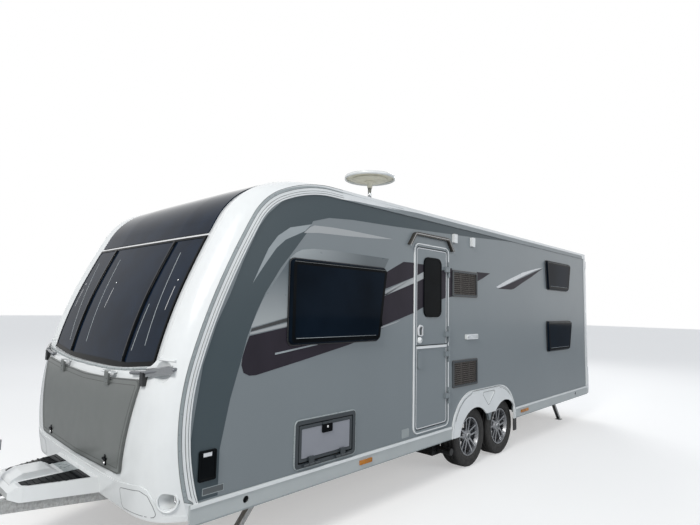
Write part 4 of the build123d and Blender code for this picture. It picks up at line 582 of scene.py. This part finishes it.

# Front: strip over the windows, window bars, a grey band on the white ledge under them as painted shade,
# pale lines along the panes' inner edges, and stays
PANES = ("front_windows", "window_frame", "sunroof_panel")
strip = divided([(-0.884, 2.084), (0.884, 2.084)], 0.03)
strip_hits = laid(strip, ("sunroof_panel", "window_frame", "front_panel"), "front")
ribbon("silver_strip", strip_hits, "bright", width=0.016, height=0.004, domed=True, sink=0.012)
for side, name in SIDES:
    line = divided([(side * 0.476, 1.245), (side * 0.500, 2.058)], 0.04)
    ribbon("bar_" + name, laid(line, PANES, "front"), "gloss_black", width=0.034, height=0.010,
           domed=True, sink=0.01, smooth=True)
LEDGE_GAP = 0.009
ledge = []
for k in range(59):
    y, z = -0.87 + 0.03 * k, 1.30
    while hit(PANES, "front", y, z):
        z -= 0.002
    ledge += laid([(y, z - LEDGE_GAP)], ("front_panel",), "front")
# a grey band on the white ledge: painted shade
ribbon("window_ledge_shade", ledge, "grey_band", width=0.016, height=0.004, domed=True, sink=0.006, smooth=True)
PANE_LINES = {
    "left": ((0.650, 1.97), (0.705, 1.36)), "middle": ((-0.33, 1.97), (-0.25, 1.33)),
    "right": ((-0.77, 1.96), (-0.60, 1.32)), "inner_left": ((0.560, 1.62), (0.545, 1.32)),
    "inner_right": ((-0.535, 1.72), (-0.52, 1.34)),
}
for name, line in PANE_LINES.items():
    hits = laid(divided(list(line), 0.04), PANES, "front")
    ribbon("pane_edge_" + name, hits, "pale_decal", width=0.007)
STAY_LOW, STAY_HIGH, STAY_KNOB = 1.585, 1.735, 1.775
for name, y in (("left", 0.80), ("right", -0.80), ("middle", -0.15)):
    stay = laid(divided([(y, STAY_LOW), (y, STAY_HIGH)], 0.03), PANES, "front")
    ribbon("stay_" + name, stay, "bright", width=0.005, height=0.002)
    place, normal = hit(PANES, "front", y, STAY_KNOB)
    bar("stay_knob_" + name, place - normal * 0.002, place + normal * 0.004, 0.006, "bright")

# Front locker lid: dark double line round it, and its two latches
LID = "front_locker_lid"
LID_CORNERS = [
    (-0.720, 0.610), (0.0, 0.588), (0.720, 0.610), (0.855, 1.176), (0.430, 1.146), (0.0, 1.131),
    (-0.430, 1.146), (-0.855, 1.176),
]
LID_RADII = [0.04, 0.5, 0.04, 0.04, 0.5, 0.5, 0.5, 0.04]
LATCH_Y, LATCH_Z = 0.52, 0.655
lid_outline = rounded(LID_CORNERS, LID_RADII, 4)
for name, amount, width in (("outer", 0.006, 0.006), ("inner", 0.034, 0.004)):
    hits = laid(divided(inset(lid_outline, amount), 0.045, True), (LID,), "front")
    ribbon("lid_line_" + name, hits, "lid_line", width=width, body=LID, closed=True, sink=0.004)
for side, name in SIDES:
    x, y, z = hit((LID,), "front", side * LATCH_Y, LATCH_Z)[0]
    base = [(y - 0.017, z - 0.030), (y + 0.017, z - 0.030), (y + 0.014, z + 0.034), (y - 0.014, z + 0.034)]
    grip = soft_box(y - 0.026, y + 0.026, z + 0.002, z + 0.016, 0.006)
    plate("lid_latch_%s_base" % name, rounded(base, 0.008), x - 0.012, x + 0.004, "x", "gloss_black", LID)
    plate("lid_latch_%s_grip" % name, grip, x - 0.006, x + 0.012, "x", "gloss_black", LID)
    key_start, key_end = (x + 0.002, y, z - 0.016), (x + 0.010, y, z - 0.016)
    bar("lid_latch_%s_key" % name, key_start, key_end, 0.009, "bright", LID)

# Front bumper: a dark line round an inset at each side, as painted shade in its groove
BUMPER_INSET = [
    (0.701, 0.534), (0.715, 0.418), (1.035, 0.432), (1.017, 0.499), (0.994, 0.551), (0.936, 0.569),
]
for side, name in SIDES:
    outline = rounded([(side * y, z) for y, z in BUMPER_INSET[::side]], 0.025, 4)
    hits = laid(divided(outline, 0.04, True), ("front_bumper",), "front")
    ribbon("bumper_inset_shade_" + name, hits, "rail_line", width=0.004, height=0.0005, closed=True, sink=0.004)

# Front lamps: white bezel, bright ring and bulb
LAMP_FACE, LAMP_Y, LAMP_Z = at(6776), 1.078, 0.526
BEZEL_X, BEZEL_Y, BEZEL_Z = at(6842.5), 1.0775, 0.524
BEZEL = [
    (-0.012, 0.0500), (0.005, 0.0505), (0.009, 0.0540), (0.008, 0.0600), (0.001, 0.0640), (-0.012, 0.0640),
]
LAMP_RING = [(0.0, 0.0385), (0.006, 0.040), (0.006, 0.0435), (-0.004, 0.0435), (-0.004, 0.0385)]
BULB = [(-0.002, 0.012), (0.003, 0.010), (0.006, 0.004), (0.0065, 0.0)]
for side, name in SIDES:
    centre = (LAMP_FACE, side * LAMP_Y, LAMP_Z)
    bezel_way = (0.66, side * 0.75, 0)
    turned("lamp_%s_bezel" % name, BEZEL, (BEZEL_X, side * BEZEL_Y, BEZEL_Z), bezel_way, "body_white")
    turned("lamp_%s_ring" % name, LAMP_RING, centre, (1, 0, 0), "bright", sides=40)
    turned("lamp_%s_bulb" % name, BULB, centre, (1, 0, 0), "bright", sides=24, closed=False)


# Edge rails: where inner rail, outer band and moulding start and end, going outwards over the wall
def rail_place(origin, way, start, passed):
    """How far from a place on the side, along a way, the height over the wall first passes a level."""
    reach = start
    for step in FINER_STEPS:
        while reach < 6.0:
            place = origin + way * (reach + step)
            found = hit(("edge_rails", "wall_left"), "left", place.x, place.z)
            if passed(found[0].y - HALF if found else -1.0):
                break
            reach += step
    return reach


angles = [math.radians(-31 + 2 * k) for k in range(60)]
rays = [(Vector((1.40, 0, 1.30)), Vector((math.cos(a), 0, math.sin(a)))) for a in angles]
rays += [(Vector((1.36 - 0.11 * k, 0, 2.30)), Vector((0, 0, 1))) for k in range(48)]
inner_edge, outer_edge = [], []
for origin, way in rays:
    start = rail_place(origin, way, 0.01, lambda height: height > 0.006)
    middle = rail_place(origin, way, start + 0.004, lambda height: height < 0.005)
    end = rail_place(origin, way, middle + 0.004, lambda height: height < 0.001)
    inner_edge.append((origin + way * start, origin + way * middle))
    outer_edge.append((origin + way * middle, origin + way * end))


def edge_line(name, pairs, share, level):
    """A thin line along the side's edge, at a share of the way across a strip, on both sides."""
    for side, side_name in SIDES:
        points = [a.lerp(b, share) for a, b in pairs]
        path = on_wall([(p.x, p.z) for p in points], level, side)
        ribbon("%s_%s" % (name, side_name), path, "rail_line", width=0.0035)


def edge_strip(name, pairs, first, second, low, high, look):
    """A strip along the side's edge between two shares of the way across, which may differ along it."""
    for side, side_name in SIDES:
        y, top = side * (HALF + low), side * (HALF + high)
        loops = []
        for k, (a, b) in enumerate(pairs):
            p, q = a.lerp(b, first(k)), a.lerp(b, second(k))
            loops.append([(p.x, y, p.z), (p.x, top, p.z), (q.x, top, q.z), (q.x, y, q.z)])
        lofted("%s_%s" % (name, side_name), loops, look)


def taper(k, start, end):
    return min(1.0, max(0.0, (k - start) / (end - start)))


# Painted shade on the front moulding's side face as a grey strip on the front's band, thin lines along the
# rails, and the roof's rails in the wall's grey
ARC = 66
edge_strip("edge_shade", outer_edge[:ARC], lambda k: 0.52, lambda k: 0.93 - 0.47 * taper(k, 40, 65),
           0.002, 0.0036, "grey_band")
EDGE_LINES = {
    "rail": (inner_edge, 0.5, 0.009), "band": (outer_edge, 0.06, 0.003), "strip": (outer_edge, 0.50, 0.003),
    "moulding": (outer_edge, 0.96, 0.003),
}
for name, (pairs, share, level) in EDGE_LINES.items():
    edge_line("edge_line_" + name, pairs[:ARC - 9], share, level)
edge_strip("roof_strip_rail", inner_edge[56:], lambda k: -0.05, lambda k: 1.04 * taper(k, 0, 9),
           -0.001, 0.0097, "leaf_grey")
edge_strip("roof_strip_band", outer_edge[62:], lambda k: -0.02, lambda k: 0.42 * taper(k, 0, 5),
           0.001, 0.0042, "leaf_grey")

# Rear wall: the piece under the roof's curve with its trim, and white edges with a bead and end caps
CROWN_HALF, CROWN_Z, CROWN_STEPS = 1.112, 2.499, 36
crown = [-CROWN_HALF + 2 * CROWN_HALF * k / CROWN_STEPS for k in range(CROWN_STEPS + 1)]
crown = [(y, CROWN_Z + camber(y)) for y in crown]
crown_foot = [(-CROWN_HALF, 2.490), (CROWN_HALF, 2.490)]
plate("rear_crown", crown[::-1] + crown_foot, REAR_WALL + 0.001, REAR_WALL + 0.026, "x", "body_white")
path = [(Vector((REAR_WALL, y, z + 0.004)), Vector((-1, 0, 0))) for y, z in crown]
ribbon("rear_crown_trim", path, "body_white", width=0.036, height=0.010, domed=True, sink=0.001)
for side, name in SIDES:
    edge = box_outline(REAR_WALL + 0.001, REAR_WALL + 0.040, 0.50, 2.40)
    wall_plate("rear_edge_" + name, edge, SUNK, 0.006, "body_white", side=side)
    x, y = REAR_WALL + 0.018, side * (HALF + 0.005)
    bar("rear_edge_bead_" + name, (x, y, 0.52), (x, y, 2.36), 0.009, "body_white")
    for row, (low, high) in enumerate(((0.505, 0.78), (2.30, 2.42))):
        cap = soft_box(REAR_WALL + 0.002, REAR_WALL + 0.055, low, high, 0.015, 3)
        wall_plate("rear_edge_cap_%s_%d" % (name, row), cap, SUNK, 0.016, "body_white", side=side)

# Door: frame bead, a line round each leaf and a rail across at the split
door = box_outline(at(4030), at(4600), 0.518, 2.220)
wall_ring("door_frame_bead", door, (-0.004, 0.064), (0.007, 0.053), 6, SUNK, 0.012, "body_white")
LINE_INSET, LEAF_CORNER = 0.005, 0.028
for name, split, end in (("lower", 1.284, 0.558), ("upper", 1.296, 2.180)):
    rise = math.copysign(LEAF_CORNER, end - split)
    x = LEAF_REAR + LINE_INSET
    path = [(x, split), (x, end - rise)]
    for t in (0.4, 0.8, 1.2, 1.57):
        path.append((x + LEAF_CORNER * (1 - math.cos(t)), end - rise * (1 - math.sin(t))))
    path += [(LEAF_REAR + LEAF_FRONT - a, b) for a, b in path[::-1]]
    ribbon("door_edge_" + name, on_wall(path, LEAF), "white_line", width=0.007, height=0.0025,
           body="door_" + name)
rail = soft_box(LEAF_REAR + 0.004, LEAF_FRONT - 0.004, 1.262, 1.285, 0.004, 3)
wall_plate("door_split_rail", rail, LEAF + SUNK, LEAF + 0.009, "body_white", "door_lower")

# Door handle and lock, over the split
HANDLE_X = at(4512)
LEVER_OUT = [(-0.040, 1.372), (0.036, 1.380), (0.040, 1.450), (0.010, 1.480), (-0.042, 1.470)]
LEVER_IN = [(-0.030, 1.382), (0.020, 1.388), (0.024, 1.442), (0.002, 1.464), (-0.030, 1.458)]
KNOB = [(-0.004, 0.030), (0.008, 0.030), (0.018, 0.024), (0.024, 0.012), (0.025, 0.0)]
handle_recess = soft_box(HANDLE_X - 0.038, HANDLE_X + 0.038, 1.372, 1.472, 0.030)
wall_plate("handle_recess", handle_recess, LEAF - 0.002, LEAF + 0.003, "plate_dark", "door_upper")
lever_out, lever_in = [[(HANDLE_X + a, b) for a, b in loop] for loop in (LEVER_OUT, LEVER_IN)]
ring("handle_lever", rounded(lever_out, 0.02), rounded(lever_in, 0.012), HALF + LEAF + 0.003,
     HALF + LEAF + 0.015, "y", "white_line", "door_upper", bevel=0.003)
knob_centre = (HANDLE_X + 0.004, HALF + LEAF, 1.338)
turned("lock_knob", KNOB, knob_centre, (0, 1, 0), "body_white", "door_upper", sides=28, closed=False)
lock_slot = soft_box(HANDLE_X + 0.002, HANDLE_X + 0.006, 1.330, 1.346, 0.001, 2)
wall_plate("lock_slot", lock_slot, LEAF + 0.023, LEAF + 0.0255, "groove", "door_upper")

# Side windows: black surrounds on the panes, seals on the wall, an inner rail and a painted glint along the
# top edge
WINDOWS = {
    # side, then X at the low rear, low front, high rear and high front corners, and the heights
    "lounge": (1, 5101, 6058, 5009, 6058, 1.360, 1.955),
    "bunk_high": (1, 815, 1558, 714, 1604, 1.920, 2.307),
    "bunk_low": (1, 800, 1573, 700, 1591, 1.090, 1.488),
    "lounge_right": (-1, 5101, 6058, 5009, 6058, 1.360, 1.955),
    "kitchen_right": (-1, 3690, 4480, 3620, 4480, 1.360, 1.955),
    "washroom_right": (-1, 560, 1010, 520, 1010, 1.500, 1.955),
}
GLASS = 0.034
for name, (side, low_rear, low_front, high_rear, high_front, low, high) in WINDOWS.items():
    outline = [(at(low_rear), low), (at(low_front), low), (at(high_front), high), (at(high_rear), high)]
    wall_ring("window_surround_" + name, outline, (0.013, 0.030), (0.040, 0.014), 5,
              GLASS - 0.001, GLASS + 0.0008, "gloss_black", side=side, bevel=0)
    wall_ring("window_seal_" + name, outline, (-0.007, 0.046), (0.003, 0.040), 6,
              SUNK, 0.012, "black_trim", side=side)
    rail = [(at(low_rear) + 0.06, low + 0.044), (at(low_front) - 0.05, low + 0.044)]
    start, end = [place for place, _ in on_wall(rail, GLASS + 0.0004, side)]
    bar("window_rail_" + name, start, end, 0.0018, "pale_decal", sides=6)
    glint = on_wall(inset(outline, 0.020)[2:], GLASS + 0.0008, side)
    ribbon("window_glint_" + name, glint, "rail_line", width=0.0025)

# Door window surround
pane = box_outline(PANE_REAR, PANE_FRONT, 1.553, 2.100)
wall_ring("door_window_surround", pane, (-0.006, 0.066), (0.016, 0.046), 6,
          LEAF + SUNK, LEAF + 0.0125, "gloss_black", "door_upper")

# Fridge vents: grey frames over the slats, a dark back as painted shade in the opening behind them, and fine
# upright wires
VENTS = {"upper": (3457, 3955, 1.752, 2.019), "lower": (3457, 3948, 0.851, 1.119)}
WIRES = 26
for name, (rear, front, low, high) in VENTS.items():
    rear, front = at(rear), at(front)
    wall_ring("vent_frame_" + name, box_outline(rear, front, low, high), (-0.001, 0.019), (0.023, 0.009), 4,
              SUNK, 0.0115, "hatch_dark", bevel=0.004)
    back = box_outline(rear, front, low, high, -0.018)
    wall_plate("vent_shade_back_" + name, back, -0.022, -0.016, "vent_dark")
    verts, faces = [], []
    for k in range(WIRES):
        x = rear + 0.024 + (front - rear - 0.048) * (k + 0.5) / WIRES
        faces += box_faces(len(verts))
        for a in (x - 0.0030, x + 0.0030):
            for y in (HALF + 0.0042, HALF + 0.0062):
                verts += [(a, y, low + 0.021), (a, y, high - 0.021)]
    piece("vent_wires_" + name, verts, faces, "vent_dark")

# Locker hatch: a pale rim as its painted highlight, dark borders, grey panel and lock
hatch = box_outline(at(5357), at(5972), 0.510, 0.840)
wall_ring("hatch_rim_highlight", hatch, (-0.003, 0.038), (0.004, 0.030), 6, SUNK, 0.0105, "grey_band")
wall_ring("hatch_border", hatch, (0.006, 0.030), (0.0335, 0.008), 6, 0.002, 0.0100, "hatch_dark")
panel = rounded(inset(hatch, 0.066), 0.006, 3)
wall_plate("hatch_face", panel, 0.003, 0.0055, "hatch_panel", "locker_hatch")
wall_ring("hatch_inner_border", hatch, (0.042, 0.008), (0.062, 0.005), 3,
          0.003, 0.0085, "hatch_dark", "locker_hatch", bevel=0.002)
LOCK_X = at(5664.5)
lock = soft_box(LOCK_X - 0.050, LOCK_X + 0.050, 0.722, 0.782, 0.006, 3)
wall_plate("hatch_lock", lock, 0.003, 0.0150, "gloss_black", "locker_hatch")
bar("hatch_key", (LOCK_X, HALF + 0.014, 0.760), (LOCK_X, HALF + 0.0175, 0.760), 0.009, "bright",
    "locker_hatch")

# Grab handles: the outer part is a flat bright sleeve, and a white wing stands over each
SLEEVE_LINE = ((6928, 0.905, 1.221), (6895, 0.995, 1.2355), (6856, 1.088, 1.2505))
SLEEVE_SHAPE = ((-0.008, -0.024), (0.014, -0.023), (0.014, 0.018), (-0.008, 0.022))
for side, name in SIDES:
    out = Vector((0.45, side * 0.9, 0)).normalized()
    loops = []
    for x, y, z in SLEEVE_LINE:
        place = Vector((at(x), side * y, z))
        loops.append([place + out * push + Vector((0, 0, rise)) for push, rise in SLEEVE_SHAPE])
    lofted("grab_sleeve_" + name, loops, "silver")
    wing = laid(divided([(side * 0.945, 1.302), (side * 1.075, 1.296)], 0.02), ("front_panel",), "front")
    ribbon("grab_wing_" + name, wing, "body_white", width=0.015, height=0.007, domed=True, sink=0.003,
           smooth=True)

# Skirts: bright top lip, grey fold, and dark discs in the round holes as painted shade
HOLE_SHADE = [(0.0, 0.0), (0.0, 0.0216), (0.004, 0.0216), (0.004, 0.0)]
for side, name in SIDES:
    for part, rear, front in (("front", 3972, 6736), ("rear", 62, 2563)):
        label = part + "_" + name
        lip = box_outline(at(rear), at(front), 0.4700, 0.4915)
        # the lip is a real bead; its white, brighter than the skirt, is partly painted highlight
        wall_plate("skirt_lip_" + label, lip, 0.009, 0.0165, "body_white", side=side)
        fold = box_outline(at(rear), at(front), 0.3705, 0.378)
        wall_plate("skirt_fold_" + label, fold, 0.006, 0.0125, "grey_band", side=side)
    for part, x in (("front", at(6357)), ("rear", at(560))):
        centre = (x, side * (HALF + SUNK), 0.428)
        # a dark disc in each hole: painted shade
        turned("skirt_hole_shade_%s_%s" % (part, name), HOLE_SHADE, centre, (0, side, 0), "gloss_black", sides=32,
               closed=False)


# Spats: dark lines along the outer edge and round the recess between the wheels
def spat_edge():
    """The outer line of the spat, seen from the side."""
    middle = Vector((at(3268), 0, 0.42))
    line = []
    for k in range(61):
        angle = math.radians(1.5 + 2.95 * k)
        way = Vector((math.cos(angle), 0, math.sin(angle)))
        reach = 0.2
        for step in FINER_STEPS:
            place = middle + way * (reach + step)
            while reach <= 0.5 or (reach <= 1.5 and hit(("wheel_spats",), "left", place.x, place.z)):
                reach += step
                place = middle + way * (reach + step)
        line.append(tuple((middle + way * reach).xz))
    return line


spat_line = spat_edge()
for amount in (0.016, 0.034):
    inward = inset(spat_line, amount)[1:-1]
    for side, name in SIDES:
        ribbon("spat_line_%d_%s" % (amount * 1000, name), laid(inward, ("wheel_spats",), name), "rail_line",
               width=0.004, sink=0.002)
recess = inset(rounded([(at(3076), 0.744), (at(3232), 0.608), (at(3368), 0.744)], 0.014, 3), -0.006)
for side, name in SIDES:
    ribbon("spat_recess_" + name, laid(divided(recess, 0.05, True), ("wheel_spats",), name), "rail_line",
           width=0.005, closed=True, sink=0.002)

# Service box: dark case, door and a blank pale tab. Then the blank small plate and the socket in the wall
case = box_outline(at(6580), at(6690), 0.605, 0.775)
wall_ring("service_rim", case, (-0.002, 0.010), (0.010, 0.006), 4, SUNK, 0.015, "gloss_black")
wall_plate("service_door", rounded(inset(case, 0.012), 0.006, 3), 0.008, 0.0125, "gloss_black")
tab = soft_box(at(6612), at(6668), 0.742, 0.768, 0.003, 3)
wall_plate("service_tab", tab, 0.012, 0.0135, "white_line")
small = box_outline(at(6515), at(6660), 0.520, 0.562)
wall_plate("small_plate", rounded(small, 0.003, 3), -SHEET, 0.0015, "plate_dark")
wall_ring("small_plate_rim", small, (0, 0.003), (0.004, 0.002), 3, 0, 0.0022, "grey_band", bevel=0)
socket = soft_box(at(4658), at(4762), 0.512, 0.586, 0.010, 4)
wall_plate("side_socket", socket, -SHEET, 0.004, "grey_trim")

# Wheels: tyres with a grooved tread, centre caps and bolts
WHEELS = {"front": at(3507), "rear": at(2839)}
WHEEL_Y, WHEEL_Z = 0.9875, 0.308
BOLTS, BOLT_CIRCLE, BOLT_RADIUS = 5, 0.046, 0.0075
TYRE = [
    (0.0725, 0.197), (0.080, 0.205), (0.0855, 0.222), (0.090, 0.232), (0.0885, 0.236), (0.0925, 0.262),
    (0.090, 0.286), (0.080, 0.301), (0.064, 0.3065), (0.048, 0.3075), (0.0465, 0.300), (0.038, 0.300),
    (0.0365, 0.308), (0.006, 0.308), (0.0045, 0.300), (-0.0045, 0.300), (-0.006, 0.308), (-0.048, 0.3075),
    (-0.064, 0.3065), (-0.086, 0.298), (-0.0915, 0.27), (-0.080, 0.205), (-0.0725, 0.197),
]
CAP = [(0.054, 0.034), (0.066, 0.034), (0.070, 0.028), (0.071, 0.0)]
CAP_DISC = [(0.0705, 0.022), (0.0722, 0.021), (0.0725, 0.0)]
for row, x in WHEELS.items():
    for side, side_name in SIDES:
        name = row + "_" + side_name
        centre = (x, side * WHEEL_Y, WHEEL_Z)
        body = "wheel_" + name
        tyre = turned("tread_" + name, TYRE, centre, (0, side, 0), "tyre_black", body, 32)
        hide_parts("tyre_" + name)
        turned("cap_" + name, CAP, centre, (0, side, 0), "alloy", body, 28, False)
        turned("cap_disc_" + name, CAP_DISC, centre, (0, side, 0), "plate_dark", body, 24, False)
        for k in range(BOLTS):
            angle = math.radians(63 + 360 / BOLTS * k)
            px, pz = x + BOLT_CIRCLE * math.sin(angle), WHEEL_Z + BOLT_CIRCLE * math.cos(angle)
            start, end = [(px, side * (WHEEL_Y + out), pz) for out in (0.056, 0.067)]
            bar("bolt_%s_%d" % (name, k), start, end, BOLT_RADIUS, "galvanised", body, 6)

# Rear lamps: rims and lenses. Then the blank rear plate
REAR = -4.015
LAMP_INNER, LAMP_OUTER = 0.870, 0.990
for side, name in SIDES:
    a, b = sorted((side * LAMP_INNER, side * LAMP_OUTER))
    lamp = (a, b, 0.480, 0.620)
    ring("rear_lamp_%s_rim" % name, soft_box(*lamp, 0.012, 4, 0.006), soft_box(*lamp, 0.006, 4, -0.004),
         REAR - 0.003, REAR + 0.006, "x", "gloss_black")
    for k, look in enumerate(("orange_lens", "clear_lens")):
        z = 0.494 + 0.030 * k
        lens = soft_box(a + 0.010, b - 0.010, z, z + 0.024, 0.004, 3)
        plate("rear_lamp_%s_lens_%d" % (name, k), lens, REAR - 0.002, REAR + 0.002, "x", look)
rear_plate = soft_box(-0.26, 0.26, 0.49, 0.60, 0.008, 3)
plate("rear_plate", rear_plate, REAR - 0.004, REAR + 0.002, "x", "white_line")

# Aerial: rim, lower shell, collar and bright mast
MAST = (at(4850), 0.800)
AERIAL_RIM = [(0.010, 0.2330), (0.034, 0.2345), (0.040, 0.2290), (0.036, 0.2200), (0.010, 0.2250)]
AERIAL_SHELL = [(-0.010, 0.0), (-0.010, 0.120), (0.002, 0.165), (0.008, 0.165)]
AERIAL_COLLAR = [(0.0, 0.0225), (0.040, 0.026), (0.056, 0.046), (0.064, 0.046)]
turned("aerial_rim", AERIAL_RIM, (*MAST, 2.796), UP, "body_white", sides=64)
turned("aerial_shell", AERIAL_SHELL, (*MAST, 2.800), UP, "cream", closed=False)
turned("aerial_collar", AERIAL_COLLAR, (*MAST, 2.728), UP, "cream", sides=28, closed=False)
bar("aerial_mast", (*MAST, 2.60), (*MAST, 2.73), 0.0178, "silver", sides=24)

# Rooflights: pale frames round the domes
ROOFLIGHTS = {
    # X, Y, length and width
    "front": (4500, -0.120, 0.700, 0.500), "middle": (2600, -0.250, 0.400, 0.400),
    "rear": (1150, 0.420, 0.400, 0.400),
}
for name, (x, y, length, width) in ROOFLIGHTS.items():
    top = 2.530 + camber(y)
    dome = (at(x) - length / 2, at(x) + length / 2, y - width / 2, y + width / 2)
    ring("rooflight_frame_" + name, soft_box(*dome, 0.055, 5, 0.012), soft_box(*dome, 0.04, 5, -0.012),
         top - 0.018, top + 0.010, "z", "body_white", bevel=0.006)

# Drawbar cover: black tread pads with ribs, and a grey channel between them
COVER = ("drawbar_cover",)
PAD_X = at(7150)
RIBS, FIRST_RIB, RIB_PITCH = 9, 7000, 36
for side, name in SIDES:
    rear, front, tip = at(6985), at(7300), at(7330)
    pad = [(rear, 0.335), (front, 0.225), (tip, 0.190), (tip, 0.125), (rear, 0.125)]
    pad = [(a, side * b) for a, b in pad[::-side]]
    height = hit(COVER, "above", PAD_X, side * 0.2)[0].z
    slope = (hit(COVER, "above", at(7310), side * 0.15)[0].z - height) / 0.160
    loops = [[(a, b, height + slope * (a - PAD_X) + lift) for a, b in pad] for lift in (-0.002, 0.003)]
    lofted("tread_pad_" + name, loops, "gloss_black")
    verts, faces = [], []
    for k in range(RIBS):
        x = at(FIRST_RIB + RIB_PITCH * k)
        reach = min(0.320, 0.345 - 0.48 * max(0.0, x - at(7060)))
        faces += box_faces(len(verts))
        for a in (x, x + 0.010):
            for b in (side * 0.135, side * (reach - 0.015)):
                level = height + slope * (a - PAD_X)
                verts += [(a, b, level + 0.002), (a, b, level + 0.0055)]
    piece("tread_ribs_" + name, verts, faces, "gloss_black")
channel = soft_box(at(6985), at(7070), -0.115, 0.115, 0.01, 3)
level = hit(COVER, "above", at(7030), 0)[0].z
plate("cover_channel", channel, level - 0.002, level + 0.002, "z", "grey_band")

# Cowl's painted highlight as a bright line, the light on the wall and the mudflap
COWL = [(at(3955), 2.182), (at(4048), 2.307), (at(4604), 2.307), (at(4696), 2.182)]
ribbon("cowl_highlight", on_wall(divided(COWL, 0.05), 0.030), "silver", width=0.006, height=0.0012)
light = box_outline(at(3474), at(3703), 1.319, 1.371)
wall_plate("side_light_case", rounded(light, 0.010, 4), 0.001, 0.025, "body_white")
wall_plate("side_light_lens", rounded(inset(light, 0.010), 0.006, 4), 0.022, 0.0265, "clear_lens")
mudflap = soft_box(at(2470), at(2556), 0.215, 0.372, 0.012, 3)
wall_plate("mudflap", mudflap, -0.030, -0.024, "black_trim")

# Floor and light: rays from the camera, and those through glass or off gloss, see a white world
PALE = (0.62, 0.62, 0.61)
WHITE = (1, 1, 1, 1)
SKY = (0.80, 0.88, 1.0, 1)
SKY_STRENGTH = 0.42
FLOOR_SIZE = 120
FLOOR_GLOW = 0.42


def set_world():
    world = bpy.data.worlds.new("world")
    bpy.context.scene.world = world
    world.use_nodes = True
    tree = world.node_tree
    tree.nodes.clear()
    light = add(tree, "ShaderNodeBackground", {"Color": SKY, "Strength": SKY_STRENGTH})
    seen = add(tree, "ShaderNodeBackground", {"Color": WHITE, "Strength": 1.0})
    rays = add(tree, "ShaderNodeLightPath").outputs
    share = rays["Is Camera Ray"]
    for ray in ("Is Transmission Ray", "Is Glossy Ray"):
        either = add(tree, "ShaderNodeMath", links={0: share, 1: rays[ray]})
        either.operation = "MAXIMUM"
        share = either.outputs[0]
    blend = add(tree, "ShaderNodeMixShader", links={"Fac": share, 1: light.outputs[0], 2: seen.outputs[0]})
    add(tree, "ShaderNodeOutputWorld", links={"Surface": blend.outputs[0]})


def area_light(name, place, target, size, power, colour=(1, 1, 1)):
    data = bpy.data.lights.new(name, "AREA")
    data.shape = "DISK"
    data.size = size
    data.energy = power
    data.color = colour
    lamp = bpy.data.objects.new(name, data)
    bpy.context.scene.collection.objects.link(lamp)
    way = Vector(target) - Vector(place)
    lamp.matrix_world = Matrix.Translation(place) @ way.to_track_quat("-Z", "Y").to_matrix().to_4x4()


def floor_paint():
    """Pale and matt, with a glow for the camera alone, so that the floor shows near white."""
    mat, tree, bsdf = shader("floor_pale")
    fill(tree, bsdf, {"Roughness": 0.85}, {"Base Color": varied(tree, PALE, 0.02, noise(tree, 0.4, 5.0))})
    rays = add(tree, "ShaderNodeLightPath").outputs
    strength = add(tree, "ShaderNodeMath", {1: FLOOR_GLOW}, {0: rays["Is Camera Ray"]})
    strength.operation = "MULTIPLY"
    glow = add(tree, "ShaderNodeEmission", {"Color": WHITE}, {"Strength": strength.outputs[0]})
    both = add(tree, "ShaderNodeAddShader", links={0: bsdf.outputs[0], 1: glow.outputs[0]})
    fill(tree, tree.nodes["Material Output"], links={"Surface": both.outputs[0]})
    return mat


set_world()
area_light("key", (10.0, 3.5, 8.0), (0.5, 0.3, 1.0), 3.5, 800, (1.0, 0.98, 0.95))
area_light("fill", (-1.0, 11.0, 5.0), (-0.5, 0.5, 1.0), 7.0, 330, (0.95, 0.97, 1.0))
area_light("back", (-9.0, -5.0, 7.0), (0, 0, 1.0), 6.0, 450)
bpy.ops.mesh.primitive_plane_add(size=FLOOR_SIZE, location=(0, 0, 0))
floor = bpy.context.object
floor.name = "floor_stage"
floor.data.materials.append(floor_paint())
